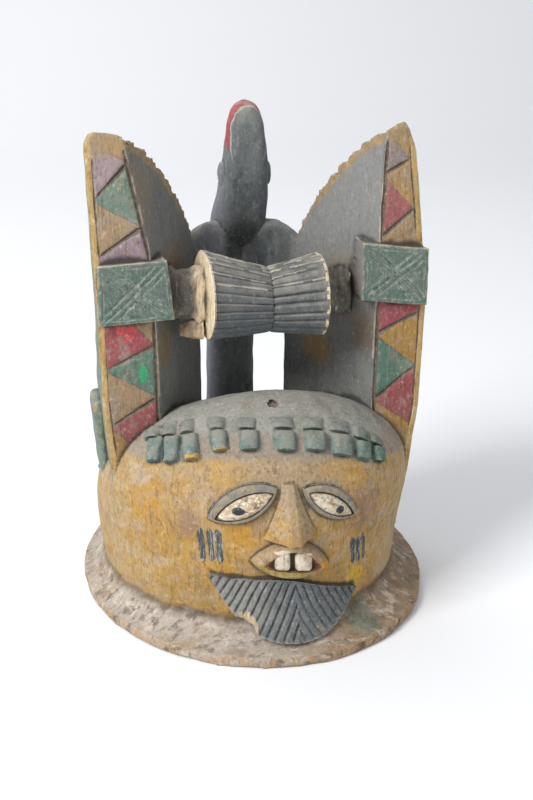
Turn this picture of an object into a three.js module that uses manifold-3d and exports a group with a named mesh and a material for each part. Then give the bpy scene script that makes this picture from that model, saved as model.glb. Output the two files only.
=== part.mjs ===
// A helmet mask carved from one block of wood and painted. An oval hollow head stands on a flared
// rim, with a schematic face in front and two rows of hair lumps round the crown. Two tall upright
// ears rise from the crown, a fluted hourglass drum lies between them, and a bird with a raised
// head stands on a post behind the drum and spreads its wings to the ears.
//
// Millimetres, +Z up, the face looks along -Y. The head frame has x = 0 in the middle of the face.
// The rim's middle lies a little beside it, and becomes the origin in the last step.
import * as THREE from 'three';
import { mergeVertices } from 'three/addons/utils/BufferGeometryUtils.js';
import Module from 'manifold-3d';

const wasm = await Module();
wasm.setup();

// Driving dimensions: rim
const RIM_MIDDLE = { x: 4, y: 12 };
const RIM_HALF_WIDTH = 144;
const RIM_HALF_DEPTH = 176;
const RIM_EDGE = 9;
const RIM_EASE = 2;
const FLARE_TOP_Z = 27;
const FLARE_STEPS = 4;
const FLARE_CURVE = 1.7;

// Driving dimensions: head shell
const HEAD_HALF_WIDTH = 127;
const HEAD_FOOT_TAPER = 11;
const FRONT_Y = -131;
const BACK_Y = 149;
const CROWN_Y = -62;
const CROWN_Z = 188;
const SHOULDER_Z = 100;
const BACK_SHOULDER_Z = 58;
const WALL = 18;
const HEAD_SIDES = 40;
const HEAD_LEVELS = [FLARE_TOP_Z, 60, 100, 118, 132, 144, 155, 165, 173, 180, 185, CROWN_Z - 0.1];
const HOLLOW_SIDES = 24;
const HOLLOW_TOP_Z = 168;
const HOLLOW_LEVELS = [-4, 50, 85, 110, 130, 146, 158, HOLLOW_TOP_Z];

// Driving dimensions: face
const FACE_ROOT = -8;
const NOSE = { x: 5.5, top: 135, bottom: 94, ridge: 5, topHalf: 6, bottomHalf: 21, rootLift: 3, lift: 17 };
const NOSE_DROOP = 0.15;
const EYES = [
  { x: -29.5, z: 121.8, half: 26, height: 12, tilt: 23, drop: 1.6 },
  { x: 38, z: 116.8, half: 24, height: 10.5, tilt: -32, drop: 1.2 },
];
const LID_LAYERS = [{ scale: 1.1, lift: -6 }, { scale: 1.05, lift: 2.5 }, { scale: 0.96, lift: 4.5 }];
const SOCKET_LAYERS = [{ scale: 0.8, flat: 0.78, lift: 1.2 }, { scale: 0.88, flat: 0.78, lift: 12 }];
const BALL_LAYERS = [
  { scale: 0.84, flat: 0.72, lift: -2 },
  { scale: 0.78, flat: 0.72, lift: 2.2 },
  { scale: 0.45, flat: 0.72, lift: 4.4 },
];
const MOUTH = { x: 6.3, z: 76, half: 29, height: 14.5, tilt: -9, bend: 4, lift: 9 };
const LIP_LAYERS = [{ scale: 1.08, lift: FACE_ROOT }, { scale: 1.0, lift: 3 }, { scale: 0.86, lift: 9 }];
const MOUTH_GAP = { half: 21, height: 8, depth: 5.5 };
const TEETH = [
  { x: -2, half: 5.8 },
  { x: 14, half: 6.4 },
];
const TOOTH_HEIGHT = 14;
const TOOTH_EASE = 1;
const BEARD = { x: 3, z: 51.5, half: 59, rootShare: 0.55, drop: 36, arch: 8, tilt: -12 };
const BEARD_LIFT = { top: 4, bottom: 24 };
const BEARD_CURVE = { left: 1.8, right: 2.5 };
const BEARD_LOCKS = 14;
const BEARD_ROWS = [1, 0.7, 0.35, 0];
const BEARD_RIDGE = 2.2;
const BEARD_CHIP = { x: -30, z: 27, size: 8, deep: 14 };
const SCARS = [
  { xs: [-60, -54, -48], top: 101, bottom: 72 },
  { xs: [58.5, 63.5, 68.5], top: 81, bottom: 56 },
];
const SCAR_WIDTH = 4.2;
const SCAR_DEPTH = 1.8;
const SCAR_LEAN = 2;

// Driving dimensions: hair
const HAIR_COLUMNS = [
  { x: -88.5, low: 153.5, high: 161.7, half: 6.9 },
  { x: -77, low: 156.5, high: 167, half: 6.5 },
  { x: -64, low: 159.5, high: 171, half: 6 },
  { x: -43, low: 164.5, high: 174.5, half: 6.3 },
  { x: -21, low: 165, high: 175, half: 7.2 },
  { x: 6, low: 163.5, high: 174, half: 8.8 },
  { x: 29.5, low: 161, high: 171.6, half: 8.4 },
  { x: 51, low: 155, high: 167, half: 8.6 },
  { x: 68.5, low: 147.5, high: 158.7, half: 7.6 },
  { x: 82.5, low: 141, high: 150, half: 6.8 },
];
const HAIR_SHARES = [{ row: 'low', height: 0.58, lift: 7 }, { row: 'high', height: 0.4, lift: 5 }];
const HAIR_BACK_ROWS = [
  { z: 135, drop: 28, height: 13, lift: 6, span: 58, count: 6, half: 15.5 },
  { z: 103, drop: 22, height: 13, lift: 6, span: 66, count: 8, half: 15.5 },
];
const HAIR_OUTLINE = [[0.9, -1], [1, 0.85], [-1, 0.85], [-0.9, -1]];
const SIDE_LOCK = { front: -34, back: 9, bottom: 84, full: 120, top: 177, lift: 6 };

// Driving dimensions: ears
const EAR_STRIP_Y = -57;
const EAR_FOOT_Z = 60;
const EAR_DEPTH = [[60, 70], [170, 68], [210, 54], [300, 32], [395, 11]];
const EAR_EDGE_THICK = [[60, 18], [200, 16], [395, 9]];
const EAR_INNER_EDGE = { x: 34, y: 22 };
const EAR_TOP_Z = 391;
const EAR_FACE_FOOT_X = 83;
const EAR_CURVE = [[-5, 383], [12, 374], [27, 362], [44, 345], [60, 326]];
const EAR_BACK_LINE = [[75, 302], [83, 278], [93, 235], [110, 190], [112, EAR_FOOT_Z - 10]];
const CUT_DEPTH = 260;
const EARS = [
  {
    side: -1,
    outer: [[60, 113], [110, 119], [187, 125.5], [250, 126.5], [330, 130], [395, 132]],
    inner: [[60, 96], [165, 80], [250, 82], [302, 85], [395, 104]],
    tip: { x: 122, u: -19.5 },
    panel: { inner: 68, innerTop: 73, outer: 126, low: 249, high: 296, slope: -0.04 },
    cuts: [[342, 367], [299, 320], [211, 228], [165, 186]],
  },
  {
    side: 1,
    outer: [[60, 113], [110, 122.5], [165, 129], [255, 132], [325, 125], [395, 117]],
    inner: [[60, 104], [165, 88], [250, 90], [330, 92], [395, 95]],
    tip: { x: 107, u: -13 },
    panel: { inner: 76, innerTop: 76, outer: 130, low: 255, high: 301, slope: -0.13 },
    cuts: [[362, 352], [324, 303], [242, 226], [197, 171]],
  },
];
const EAR_TIP = [[14.5, -34], [10.5, -17], [6.5, -6], [1.5, 0], [-4, 2]];
const BORDER_INSET = 7;
const SCALLOPS = 7;
const SCALLOP_DEPTH = 3;
const SCALLOP_FADE = 0.25;
const PANEL_LIFT = 7;
const PANEL_BACK = 24;
const PANEL_EASE = 1.5;
const PANEL_STROKES = { margin: 0.07, spread: 0.1 };
const GROOVE_WIDTH = 3.2;
const GROOVE_DEPTH = 1.8;

// Driving dimensions: drum
const DRUM = { y: -48, left: -46, right: 48, waistX: 6 };
const DRUM_END = { shift: 1.5, slant: 2.5 };
const DRUM_AXIS_Z = [[DRUM.left, 263], [DRUM.waistX, 256], [DRUM.right, 258.5]];
const DRUM_RADIUS = [[DRUM.left, 34.5], [DRUM.waistX, 24.5], [DRUM.right, 31.8]];
const FLUTES = 24;
const FLUTE_DEPTH = 1.6;
const DRUM_STUBS = [
  [
    { x: DRUM.left + 3, y: -40, z: 262, radius: 21 },
    { x: DRUM.left - 11, y: -38, z: 263, radius: 18 },
    { x: DRUM.left - 29, y: -36, z: 266, radius: 22 },
  ],
  [
    { x: DRUM.right - 3, y: -36, z: 256, radius: 18 },
    { x: DRUM.right + 26, y: -28, z: 256, radius: 18 },
  ],
];

// Driving dimensions: post, bird and wings
const BIRD_SIDES = 16;
const BIRD_STATIONS = [
  { z: 118, x: -3, y: 66, halfWidth: 21, halfDepth: 18 },
  { z: 180, x: -3, y: 64, halfWidth: 20.5, halfDepth: 17 },
  { z: 236, x: -2, y: 58, halfWidth: 20, halfDepth: 20 },
  { z: 270, x: 0, y: 50, halfWidth: 21, halfDepth: 27 },
  { z: 300, x: 0, y: 40, halfWidth: 22, halfDepth: 28 },
  { z: 322, x: 2, y: 31, halfWidth: 20.5, halfDepth: 24 },
  { z: 345, x: 3, y: 25, halfWidth: 18.5, halfDepth: 22 },
  { z: 365, x: 3, y: 22, halfWidth: 16.5, halfDepth: 20 },
  { z: 382, x: 3, y: 21, halfWidth: 13.5, halfDepth: 17 },
  { z: 392, x: 3, y: 22, halfWidth: 10.5, halfDepth: 13 },
  { z: 398, x: 3, y: 24, halfWidth: 5.5, halfDepth: 7 },
];
const JAW = { x: 3, away: 18, y: 27, z: 338, halfDeep: 11, halfTall: 9, halfWide: 5 };
const BIRD_FRONT_FLAT = 0.12;
const WING_THICK = 18;
const WING_LEAN = 5;
const WING_STATIONS = [
  { x: -2, low: 13, high: 30, bottom: 250, top: 297 },
  { x: 12, low: 9.8, high: 19, bottom: 250, top: 303 },
  { x: 24, low: 9.8, high: 18, bottom: 250, top: 302 },
  { x: 34, low: 9.5, high: 16, bottom: 252, top: 297 },
  { x: 44, low: 6, high: 12, bottom: 255, top: 288 },
];
const WING_SECTION = [[0, 0], [0, 0.5], [0, 0.88], [0.2, 1], [0.8, 1], [1, 0.9], [1, 0.5], [0.9, 0]];

const rad = THREE.MathUtils.degToRad;
const vec = (x, y, z) => new THREE.Vector3(x, y, z);

// Straight-line reading of a list of [z, value] pairs
function readAt(pairs, z) {
  for (let i = 1; i < pairs.length; i += 1) {
    const [z0, v0] = pairs[i - 1];
    const [z1, v1] = pairs[i];
    if (z <= z1 || i === pairs.length - 1) {
      const share = THREE.MathUtils.clamp((z - z0) / (z1 - z0), 0, 1);
      return v0 + (v1 - v0) * share;
    }
  }
  return pairs[0][1];
}

// A solid from a closed list of corners and triangles, turned right side out
function solidFrom(vertProperties, triVerts) {
  let volume = 0;
  const corner = (i) => vec(...vertProperties.slice(3 * i, 3 * i + 3));
  for (let t = 0; t < triVerts.length; t += 3) {
    volume += corner(triVerts[t]).dot(corner(triVerts[t + 1]).cross(corner(triVerts[t + 2])));
  }
  if (volume < 0) {
    triVerts = triVerts.slice().reverse();
  }
  return new wasm.Manifold(new wasm.Mesh({
    numProp: 3,
    vertProperties: new Float32Array(vertProperties),
    triVerts: new Uint32Array(triVerts),
  }));
}

// A solid from a closed three.js geometry
function solidOf(geometry) {
  const bare = geometry.clone();
  bare.deleteAttribute('normal');
  bare.deleteAttribute('uv');
  const merged = mergeVertices(bare, 1e-4);
  return solidFrom(Array.from(merged.attributes.position.array), Array.from(merged.index.array));
}

// A closed body through rings of points that all have the same count
function loft(rings) {
  const count = rings[0].length;
  const corners = rings.flat().flatMap((p) => [p.x, p.y, p.z]);
  const triangles = [];
  for (let r = 0; r + 1 < rings.length; r += 1) {
    for (let i = 0; i < count; i += 1) {
      const a = r * count + i;
      const b = r * count + ((i + 1) % count);
      triangles.push(a, b, b + count, a, b + count, a + count);
    }
  }
  const ends = [rings[0], rings[rings.length - 1]];
  ends.forEach((ring, end) => {
    const middle = ring.reduce((sum, p) => sum.add(p), vec(0, 0, 0)).divideScalar(count);
    const hub = corners.length / 3;
    corners.push(middle.x, middle.y, middle.z);
    const start = end === 0 ? 0 : (rings.length - 1) * count;
    for (let i = 0; i < count; i += 1) {
      const a = start + i;
      const b = start + ((i + 1) % count);
      triangles.push(...(end === 0 ? [b, a, hub] : [a, b, hub]));
    }
  });
  return solidFrom(corners, triangles);
}

function joinAll(solids) {
  return solids.reduce((whole, next) => whole.add(next));
}

// The head's level section at height z: an oval that shrinks and moves forward towards the crown
function headSection(z) {
  const rise = THREE.MathUtils.clamp((z - SHOULDER_Z) / (CROWN_Z - SHOULDER_Z), 0, 0.9999);
  const round = Math.sqrt(1 - rise * rise);
  const backRise = THREE.MathUtils.clamp((z - BACK_SHOULDER_Z) / (CROWN_Z - BACK_SHOULDER_Z), 0, 0.9999);
  const backRound = (1 - backRise ** 1.3) ** 0.9;
  const foot = THREE.MathUtils.clamp(1 - z / SHOULDER_Z, 0, 1);
  const front = CROWN_Y + (FRONT_Y - CROWN_Y) * round;
  const back = CROWN_Y + (BACK_Y - CROWN_Y) * backRound;
  return {
    halfWidth: HEAD_HALF_WIDTH * round - HEAD_FOOT_TAPER * foot * foot,
    middleY: (front + back) / 2,
    halfDepth: (back - front) / 2,
  };
}

// The point of the head's skin at height z, at an angle measured from the middle of the face
function headPoint(angle, z) {
  const section = headSection(z);
  return vec(section.halfWidth * Math.sin(angle), section.middleY - section.halfDepth * Math.cos(angle), z);
}

function headNormal(angle, z) {
  const step = 0.01;
  const across = headPoint(angle + step, z).sub(headPoint(angle - step, z));
  const up = headPoint(angle, z + 0.5).sub(headPoint(angle, z - 0.5));
  return across.cross(up).normalize();
}

// A point standing off the front of the head, above the place at x and z
function onFace(x, z, lift) {
  const angle = Math.asin(THREE.MathUtils.clamp(x / headSection(z).halfWidth, -1, 1));
  return headPoint(angle, z).addScaledVector(headNormal(angle, z), lift);
}

function headRing(z, inset, count) {
  const section = headSection(z);
  const ring = [];
  for (let i = 0; i < count; i += 1) {
    const angle = (2 * Math.PI * i) / count;
    ring.push(vec((section.halfWidth - inset) * Math.sin(angle),
      section.middleY - (section.halfDepth - inset) * Math.cos(angle), z));
  }
  return ring;
}

function rimRing(halfWidth, halfDepth, z) {
  const ring = [];
  for (let i = 0; i < HEAD_SIDES; i += 1) {
    const angle = (2 * Math.PI * i) / HEAD_SIDES;
    ring.push(vec(RIM_MIDDLE.x + halfWidth * Math.sin(angle), RIM_MIDDLE.y - halfDepth * Math.cos(angle), z));
  }
  return ring;
}

// The outside in one skin: a flat foot with an eased edge, a flare that curves up into the wall,
// the wall, and the crown
function makeShell() {
  const outer = rimRing(RIM_HALF_WIDTH, RIM_HALF_DEPTH, RIM_EDGE);
  const inner = headRing(FLARE_TOP_Z, 0, HEAD_SIDES);
  const rings = [
    rimRing(RIM_HALF_WIDTH - RIM_EASE, RIM_HALF_DEPTH - RIM_EASE, 0),
    rimRing(RIM_HALF_WIDTH, RIM_HALF_DEPTH, RIM_EASE),
    outer,
  ];
  for (let step = 1; step < FLARE_STEPS; step += 1) {
    const share = step / FLARE_STEPS;
    rings.push(outer.map((p, i) => {
      const point = p.clone().lerp(inner[i], share);
      point.z = THREE.MathUtils.lerp(RIM_EDGE, FLARE_TOP_Z, share ** FLARE_CURVE);
      return point;
    }));
  }
  return loft([...rings, ...HEAD_LEVELS.map((z) => headRing(z, 0, HEAD_SIDES))]);
}

// The inside follows the outside, a wall's thickness in from it, and is open below. Its level
// sections are those of the outside further up, because the wall over it is as thick as the side's.
function makeHollow() {
  return loft(HOLLOW_LEVELS.map((z) => {
    const above = z + WALL * Math.max(0, z / HOLLOW_TOP_Z);
    const { halfWidth, halfDepth } = headSection(above);
    const inset = Math.min(WALL, 0.75 * halfWidth, 0.75 * halfDepth);
    return headRing(above, inset, HOLLOW_SIDES).map((p) => vec(p.x, p.y, z));
  }));
}

// A leaf pointed at both ends that stands on the face. Each layer scales the outline, flattens it
// where it says so, and lifts it off the face. Drop moves the whole leaf down.
function leaf(place, layers, sides, drop = 0) {
  const turn = rad(place.tilt);
  return loft(layers.map(({ scale, flat = 1, lift }) => {
    const ring = [];
    for (let i = 0; i < sides; i += 1) {
      const angle = (2 * Math.PI * i) / sides;
      const along = Math.cos(angle);
      const across = Math.sign(Math.sin(angle)) * (1 - along * along) ** 0.8;
      const u = place.half * scale * along;
      const v = place.height * scale * flat * across - drop - (place.bend ?? 0) * along * along;
      ring.push(onFace(place.x + u * Math.cos(turn) - v * Math.sin(turn),
        place.z + u * Math.sin(turn) + v * Math.cos(turn), lift));
    }
    return ring;
  }));
}

function makeEye(head, eye) {
  const lids = leaf(eye, LID_LAYERS, 16);
  const socket = leaf(eye, SOCKET_LAYERS, 16, eye.drop);
  const ball = leaf(eye, BALL_LAYERS, 12, eye.drop);
  return head.add(lids).subtract(socket).add(ball);
}

// The nose widens and rises towards its tip, with a flat ridge between two facets
function makeNose() {
  const steps = 4;
  const rings = [];
  for (let i = 0; i <= steps; i += 1) {
    const share = i / steps;
    const z = THREE.MathUtils.lerp(NOSE.top, NOSE.bottom, share);
    const half = THREE.MathUtils.lerp(NOSE.topHalf, NOSE.bottomHalf, share ** 1.3);
    const lift = THREE.MathUtils.lerp(NOSE.rootLift, NOSE.lift, share ** 1.1);
    const ridge = NOSE.ridge / 2 + 2 * share;
    const section = [[half, -4], [half, 0.5], [half * 0.72, lift * 0.4], [ridge, lift]];
    rings.push([
      ...section.map(([x, out]) => onFace(NOSE.x - x, z, out)),
      ...section.reverse().map(([x, out]) => onFace(NOSE.x + x, z, out)),
    ]);
  }
  rings[steps] = rings[steps].map((p) => vec(p.x, p.y, p.z + (p.y - FRONT_Y) * NOSE_DROOP));
  return loft(rings);
}

function makeMouth(head) {
  const lips = leaf(MOUTH, LIP_LAYERS, 20);
  const gap = { ...MOUTH, half: MOUTH_GAP.half, height: MOUTH_GAP.height };
  const floor = MOUTH.lift - MOUTH_GAP.depth;
  const opening = leaf(gap, [{ scale: 0.85, lift: floor }, { scale: 1.05, lift: 14 }], 16);
  const teeth = TEETH.map((tooth) => {
    const z = MOUTH.z + 1 + (tooth.x - MOUTH.x) * Math.tan(rad(MOUTH.tilt));
    const ring = (lift, half, height) => [
      onFace(tooth.x - half, z - height, lift), onFace(tooth.x + half, z - height, lift),
      onFace(tooth.x + half, z + height, lift), onFace(tooth.x - half, z + height, lift),
    ];
    const tall = TOOTH_HEIGHT / 2;
    return loft([ring(-2, tooth.half, tall), ring(MOUTH.lift - 1.5, tooth.half, tall),
      ring(MOUTH.lift - 0.3, tooth.half - TOOTH_EASE, tall - TOOTH_EASE)]);
  });
  return joinAll([head.add(lips).subtract(opening), ...teeth]);
}

function beardCurve(u) {
  return u < 0 ? BEARD_CURVE.left : BEARD_CURVE.right;
}

// The beard: a fan of ridged locks under the mouth, standing further off the wall towards its tip.
// u runs across the beard, share runs down a lock from its root to its end.
function beardPoint(u, share, lift) {
  const turn = rad(BEARD.tilt);
  const spread = Math.min(1, Math.abs(u));
  const root = { u: BEARD.rootShare * u * BEARD.half, v: BEARD.arch * (1 - spread ** 2) };
  const end = { u: u * BEARD.half, v: -BEARD.drop * (1 - spread ** beardCurve(u)) };
  const across = THREE.MathUtils.lerp(root.u + (end.u - root.u) * spread ** 3, end.u, share);
  const down = THREE.MathUtils.lerp(root.v, end.v, share);
  return onFace(BEARD.x + across * Math.cos(turn) - down * Math.sin(turn),
    BEARD.z + across * Math.sin(turn) + down * Math.cos(turn), lift);
}

function makeBeard() {
  const rings = [];
  for (let i = 0; i <= 2 * BEARD_LOCKS; i += 1) {
    const u = 0.995 * (i / BEARD_LOCKS - 1);
    const ridge = i % 2 === 0 ? -BEARD_RIDGE : 0;
    const fall = 1 - Math.abs(u) ** beardCurve(u);
    const lift = (share) => ridge
      + THREE.MathUtils.lerp(BEARD_LIFT.top, BEARD_LIFT.bottom, (share * fall) ** 1.4);
    rings.push([
      beardPoint(u, 0, FACE_ROOT),
      beardPoint(u, 1, FACE_ROOT),
      ...BEARD_ROWS.map((share) => beardPoint(u, share, lift(share))),
    ]);
  }
  const turn = rad(BEARD.tilt);
  const chip = onFace(BEARD_CHIP.x, BEARD_CHIP.z, BEARD_LIFT.bottom * 0.7);
  const across = vec(-Math.cos(turn), 0, Math.sin(turn));
  const { size, deep } = BEARD_CHIP;
  return loft(rings).subtract(lump(chip, across, vec(0, -1, 0), size, size, deep));
}

// A three-sided cutter along a straight groove, wide at the skin and sharp at its bottom
function groove(from, to, outward, width, depth) {
  const along = to.clone().sub(from).normalize();
  const across = along.clone().cross(outward).normalize();
  const out = across.clone().cross(along).normalize();
  if (out.dot(outward) < 0) {
    out.negate();
  }
  const ring = (p) => [
    p.clone().addScaledVector(across, -width).addScaledVector(out, depth),
    p.clone().addScaledVector(across, width).addScaledVector(out, depth),
    p.clone().addScaledVector(out, -depth),
  ];
  return loft([ring(from), ring(to)]);
}

// A rounded lump with its own directions: across, outward, and the third at right angles to both
function lump(middle, across, outward, halfAcross, halfTall, halfOut) {
  const tall = outward.clone().cross(across).normalize();
  const geometry = new THREE.SphereGeometry(1, 8, 5);
  const place = new THREE.Matrix4().makeBasis(
    across.clone().multiplyScalar(halfAcross),
    tall.clone().multiplyScalar(halfTall),
    outward.clone().multiplyScalar(halfOut),
  );
  place.setPosition(middle);
  geometry.applyMatrix4(place);
  return solidOf(geometry);
}

// A block of hair with eased corners, standing on the head's skin with its sides along across
function hairBlock(middle, normal, along, half, height, lift) {
  const across = along.clone().addScaledVector(normal, -along.dot(normal)).normalize();
  const tall = normal.clone().cross(across).normalize();
  const layers = [[-6, 1.05], [lift * 0.6, 1], [lift, 0.62]];
  return loft(layers.map(([out, scale]) => HAIR_OUTLINE.map(([u, v]) => middle.clone()
    .addScaledVector(across, u * half * scale)
    .addScaledVector(tall, v * height * scale)
    .addScaledVector(normal, out))));
}

// Over the forehead each column has a low lump with a shorter one right above it
function frontHair() {
  const last = HAIR_COLUMNS.length - 1;
  return HAIR_COLUMNS.flatMap((column, i) => {
    const distance = onFace(column.x, column.low, 0).distanceTo(onFace(column.x, column.high, 0));
    const [before, after] = [HAIR_COLUMNS[Math.max(0, i - 1)], HAIR_COLUMNS[Math.min(last, i + 1)]];
    return HAIR_SHARES.map(({ row, height, lift }) => {
      const along = onFace(after.x, after[row], 0).sub(onFace(before.x, before[row], 0));
      const angle = Math.asin(column.x / headSection(column[row]).halfWidth);
      return hairBlock(headPoint(angle, column[row]), headNormal(angle, column[row]), along, column.half,
        distance * height, lift);
    });
  });
}

// Two rows fall from behind the ears to the nape
function backHair() {
  const step = 0.01;
  return HAIR_BACK_ROWS.flatMap((row) => {
    const at = (angle) => headPoint(angle, row.z - row.drop * Math.cos(angle) ** 2);
    const lumps = [];
    for (let i = 0; i < row.count; i += 1) {
      const angle = rad(180 + row.span * ((2 * (i + 0.5)) / row.count - 1));
      const along = at(angle + step).sub(at(angle - step));
      lumps.push(hairBlock(at(angle), headNormal(angle, at(angle).z), along, row.half, row.height, row.lift));
    }
    return lumps;
  });
}

// Three carved strokes on each cheek
function cutScars(head) {
  const cuts = SCARS.flatMap(({ xs, top, bottom }) => xs.map((x) => groove(
    onFace(x, top, 0),
    onFace(x + SCAR_LEAN, bottom, 0),
    headNormal(Math.asin(x / HEAD_HALF_WIDTH), top),
    SCAR_WIDTH / 2,
    SCAR_DEPTH,
  )));
  return cuts.reduce((solid, cut) => solid.subtract(cut), head);
}

// The ear's level section. Its front strip faces forward, its inner face runs back and inward to
// an upright edge, and its outer side faces away from the head.
function earSection(ear, z) {
  const depth = readAt(EAR_DEPTH, z);
  const outer = vec(ear.side * readAt(ear.outer, z), EAR_STRIP_Y + 2, z);
  const strip = vec(ear.side * readAt(ear.inner, z), EAR_STRIP_Y, z);
  const edge = vec(ear.side * EAR_INNER_EDGE.x, EAR_INNER_EDGE.y, z);
  const edgeBack = vec(edge.x + ear.side * 6, edge.y + readAt(EAR_EDGE_THICK, z), z);
  const outerBack = vec(outer.x - ear.side * 2, EAR_STRIP_Y + depth, z);
  const middle = outerBack.clone().lerp(edgeBack, 0.45);
  middle.y += 0.05 * depth;
  return [outer, strip, edge, edgeBack, middle, outerBack];
}

// The ear's outline seen square to its inner face: u runs from the strip inward and back
function earOutline(ear) {
  const edge = [[ear.tip.u, EAR_TOP_Z], ...EAR_CURVE];
  const points = [vec(-60, EAR_FOOT_Z - 10, 0), vec(-60, EAR_TOP_Z - 60, 0),
    vec(ear.tip.u - 5.5, EAR_TOP_Z - 17, 0), vec(ear.tip.u - 3.5, EAR_TOP_Z - 6, 0)];
  const path = new THREE.CatmullRomCurve3(edge.map(([u, z]) => vec(u, z, 0)), false, 'centripetal');
  const samples = SCALLOPS * 3;
  for (let i = 0; i <= samples; i += 1) {
    const share = i / samples;
    const point = path.getPointAt(share);
    const tangent = path.getTangentAt(share);
    const fade = Math.min(1, (1 - share) / SCALLOP_FADE);
    const bump = SCALLOP_DEPTH * fade * (Math.abs(Math.sin(Math.PI * SCALLOPS * share)) - 0.5);
    points.push(vec(point.x - tangent.y * bump, point.y + tangent.x * bump, 0));
  }
  points.push(...EAR_BACK_LINE.map(([u, z]) => vec(u, z, 0)));
  return new THREE.Shape(points.map((p) => new THREE.Vector2(p.x, p.y)));
}

function makeEar(ear) {
  const levels = [EAR_FOOT_Z, 110, 170, 210, 252, 302, 328, 360, EAR_TOP_Z + 4];
  const blade = loft(levels.map((z) => earSection(ear, z)));
  const foot = vec(ear.side * EAR_FACE_FOOT_X, EAR_STRIP_Y, 0);
  const along = vec(ear.side * EAR_INNER_EDGE.x, EAR_INNER_EDGE.y, 0).sub(foot).normalize();
  const settings = { depth: CUT_DEPTH, bevelEnabled: false, steps: 1 };
  const outline = new THREE.ExtrudeGeometry(earOutline(ear), settings);
  outline.translate(0, 0, -CUT_DEPTH / 2);
  const up = vec(0, 0, 1);
  outline.applyMatrix4(new THREE.Matrix4().makeBasis(along, up, along.clone().cross(up)));
  outline.translate(foot.x, foot.y, 0);
  return blade.intersect(solidOf(outline)).intersect(tipOutline(ear));
}

// The ear's outline seen from the front, which rounds its tip on the outer side
function tipOutline(ear) {
  const foot = EAR_FOOT_Z - EAR_TOP_Z - 10;
  const corners = [[-110, foot], [60, foot], ...EAR_TIP, [-110, 2]];
  const shape = new THREE.Shape(corners.map(([x, z]) => new THREE.Vector2(
    ear.side * (ear.tip.x + x), EAR_TOP_Z + z,
  )));
  const geometry = new THREE.ExtrudeGeometry(shape, { depth: CUT_DEPTH, bevelEnabled: false, steps: 1 });
  geometry.translate(0, 0, -CUT_DEPTH / 2);
  geometry.rotateX(Math.PI / 2);
  return solidOf(geometry);
}

// A raised square block across the strip, cut with two crossing bands of three strokes
function addPanel(solid, ear) {
  const { inner, innerTop, outer, low, high, slope } = ear.panel;
  const y = EAR_STRIP_Y - PANEL_LIFT;
  const at = (share, rise, depthY) => {
    const x = THREE.MathUtils.lerp(THREE.MathUtils.lerp(inner, innerTop, rise), outer, share);
    return vec(ear.side * x, depthY, THREE.MathUtils.lerp(low, high, rise) + slope * (x - inner));
  };
  const face = (depthY, inset) => [at(inset, inset, depthY), at(1 - inset, inset, depthY),
    at(1 - inset, 1 - inset, depthY), at(inset, 1 - inset, depthY)];
  let panel = loft([face(EAR_STRIP_Y + PANEL_BACK, 0), face(y + PANEL_EASE, 0), face(y, 0.03)]);
  [-1, 0, 1].forEach((k) => {
    const start = PANEL_STROKES.margin + Math.max(0, k * PANEL_STROKES.spread);
    const end = 1 - PANEL_STROKES.margin - Math.max(0, -k * PANEL_STROKES.spread);
    const strokes = [
      [at(start, 1 - end, y), at(end, 1 - start, y)],
      [at(start, end, y), at(end, start, y)],
    ];
    strokes.forEach(([from, to]) => {
      panel = panel.subtract(groove(from, to, vec(0, -1, 0), GROOVE_WIDTH / 2, GROOVE_DEPTH));
    });
  });
  return solid.add(panel);
}

// Carved lines on the strip: two borders above and below the panel, and the slanting cuts between
// the painted triangles. Each cut is given by its height at the outer and at the inner border.
function cutStrip(solid, ear) {
  const outerX = (z) => readAt(ear.outer, z) - BORDER_INSET;
  const innerX = (z) => readAt(ear.inner, z) + 2;
  const at = (x, z) => vec(ear.side * x, EAR_STRIP_Y + 1, z);
  const lines = ear.cuts.map(([zOuter, zInner]) => [at(outerX(zOuter), zOuter), at(innerX(zInner), zInner)]);
  [[140, ear.panel.low], [ear.panel.high, 376]].forEach(([bottom, top]) => {
    const half = (bottom + top) / 2;
    [[bottom, half], [half, top]].forEach(([z0, z1]) => {
      lines.push([at(outerX(z0), z0), at(outerX(z1), z1)], [at(innerX(z0), z0), at(innerX(z1), z1)]);
    });
  });
  return lines.reduce((left, [from, to]) => left.subtract(
    groove(from, to, vec(0, -1, 0), GROOVE_WIDTH / 2, GROOVE_DEPTH),
  ), solid);
}

// The drum: two fluted cones meeting at a waist, with the torn stubs that tie it to the ears
function makeDrum() {
  const { y, left, right, waistX } = DRUM;
  const stations = [
    [left, 0], [left + 2, 1], [waistX - 2, 1], [waistX, 0], [waistX + 2, 1], [right - 2, 1], [right, 0],
  ];
  const rings = stations.map(([x, fluted]) => {
    const radius = readAt(DRUM_RADIUS, x) - (fluted ? 0 : FLUTE_DEPTH);
    const ring = [];
    for (let i = 0; i < FLUTES * 2; i += 1) {
      const angle = (Math.PI * i) / FLUTES;
      const r = radius - (i % 2) * FLUTE_DEPTH * fluted;
      const end = x <= left + 2 ? DRUM_END.shift - DRUM_END.slant * Math.cos(angle) : 0;
      ring.push(vec(x + end, y + r * Math.cos(angle), readAt(DRUM_AXIS_Z, x) + r * Math.sin(angle)));
    }
    return ring;
  });
  return joinAll([loft(rings), ...DRUM_STUBS.map((stub) => loft(stub.map(stubRing)))]);
}

// A ragged section of the wood left between the drum and an ear
function stubRing({ x, y, z, radius }) {
  const sides = 9;
  const ring = [];
  for (let i = 0; i < sides; i += 1) {
    const angle = (2 * Math.PI * i) / sides;
    const r = radius * (1 + 0.12 * Math.cos(3 * angle + x));
    ring.push(vec(x, y + r * Math.cos(angle), z + r * Math.sin(angle)));
  }
  return ring;
}

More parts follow.
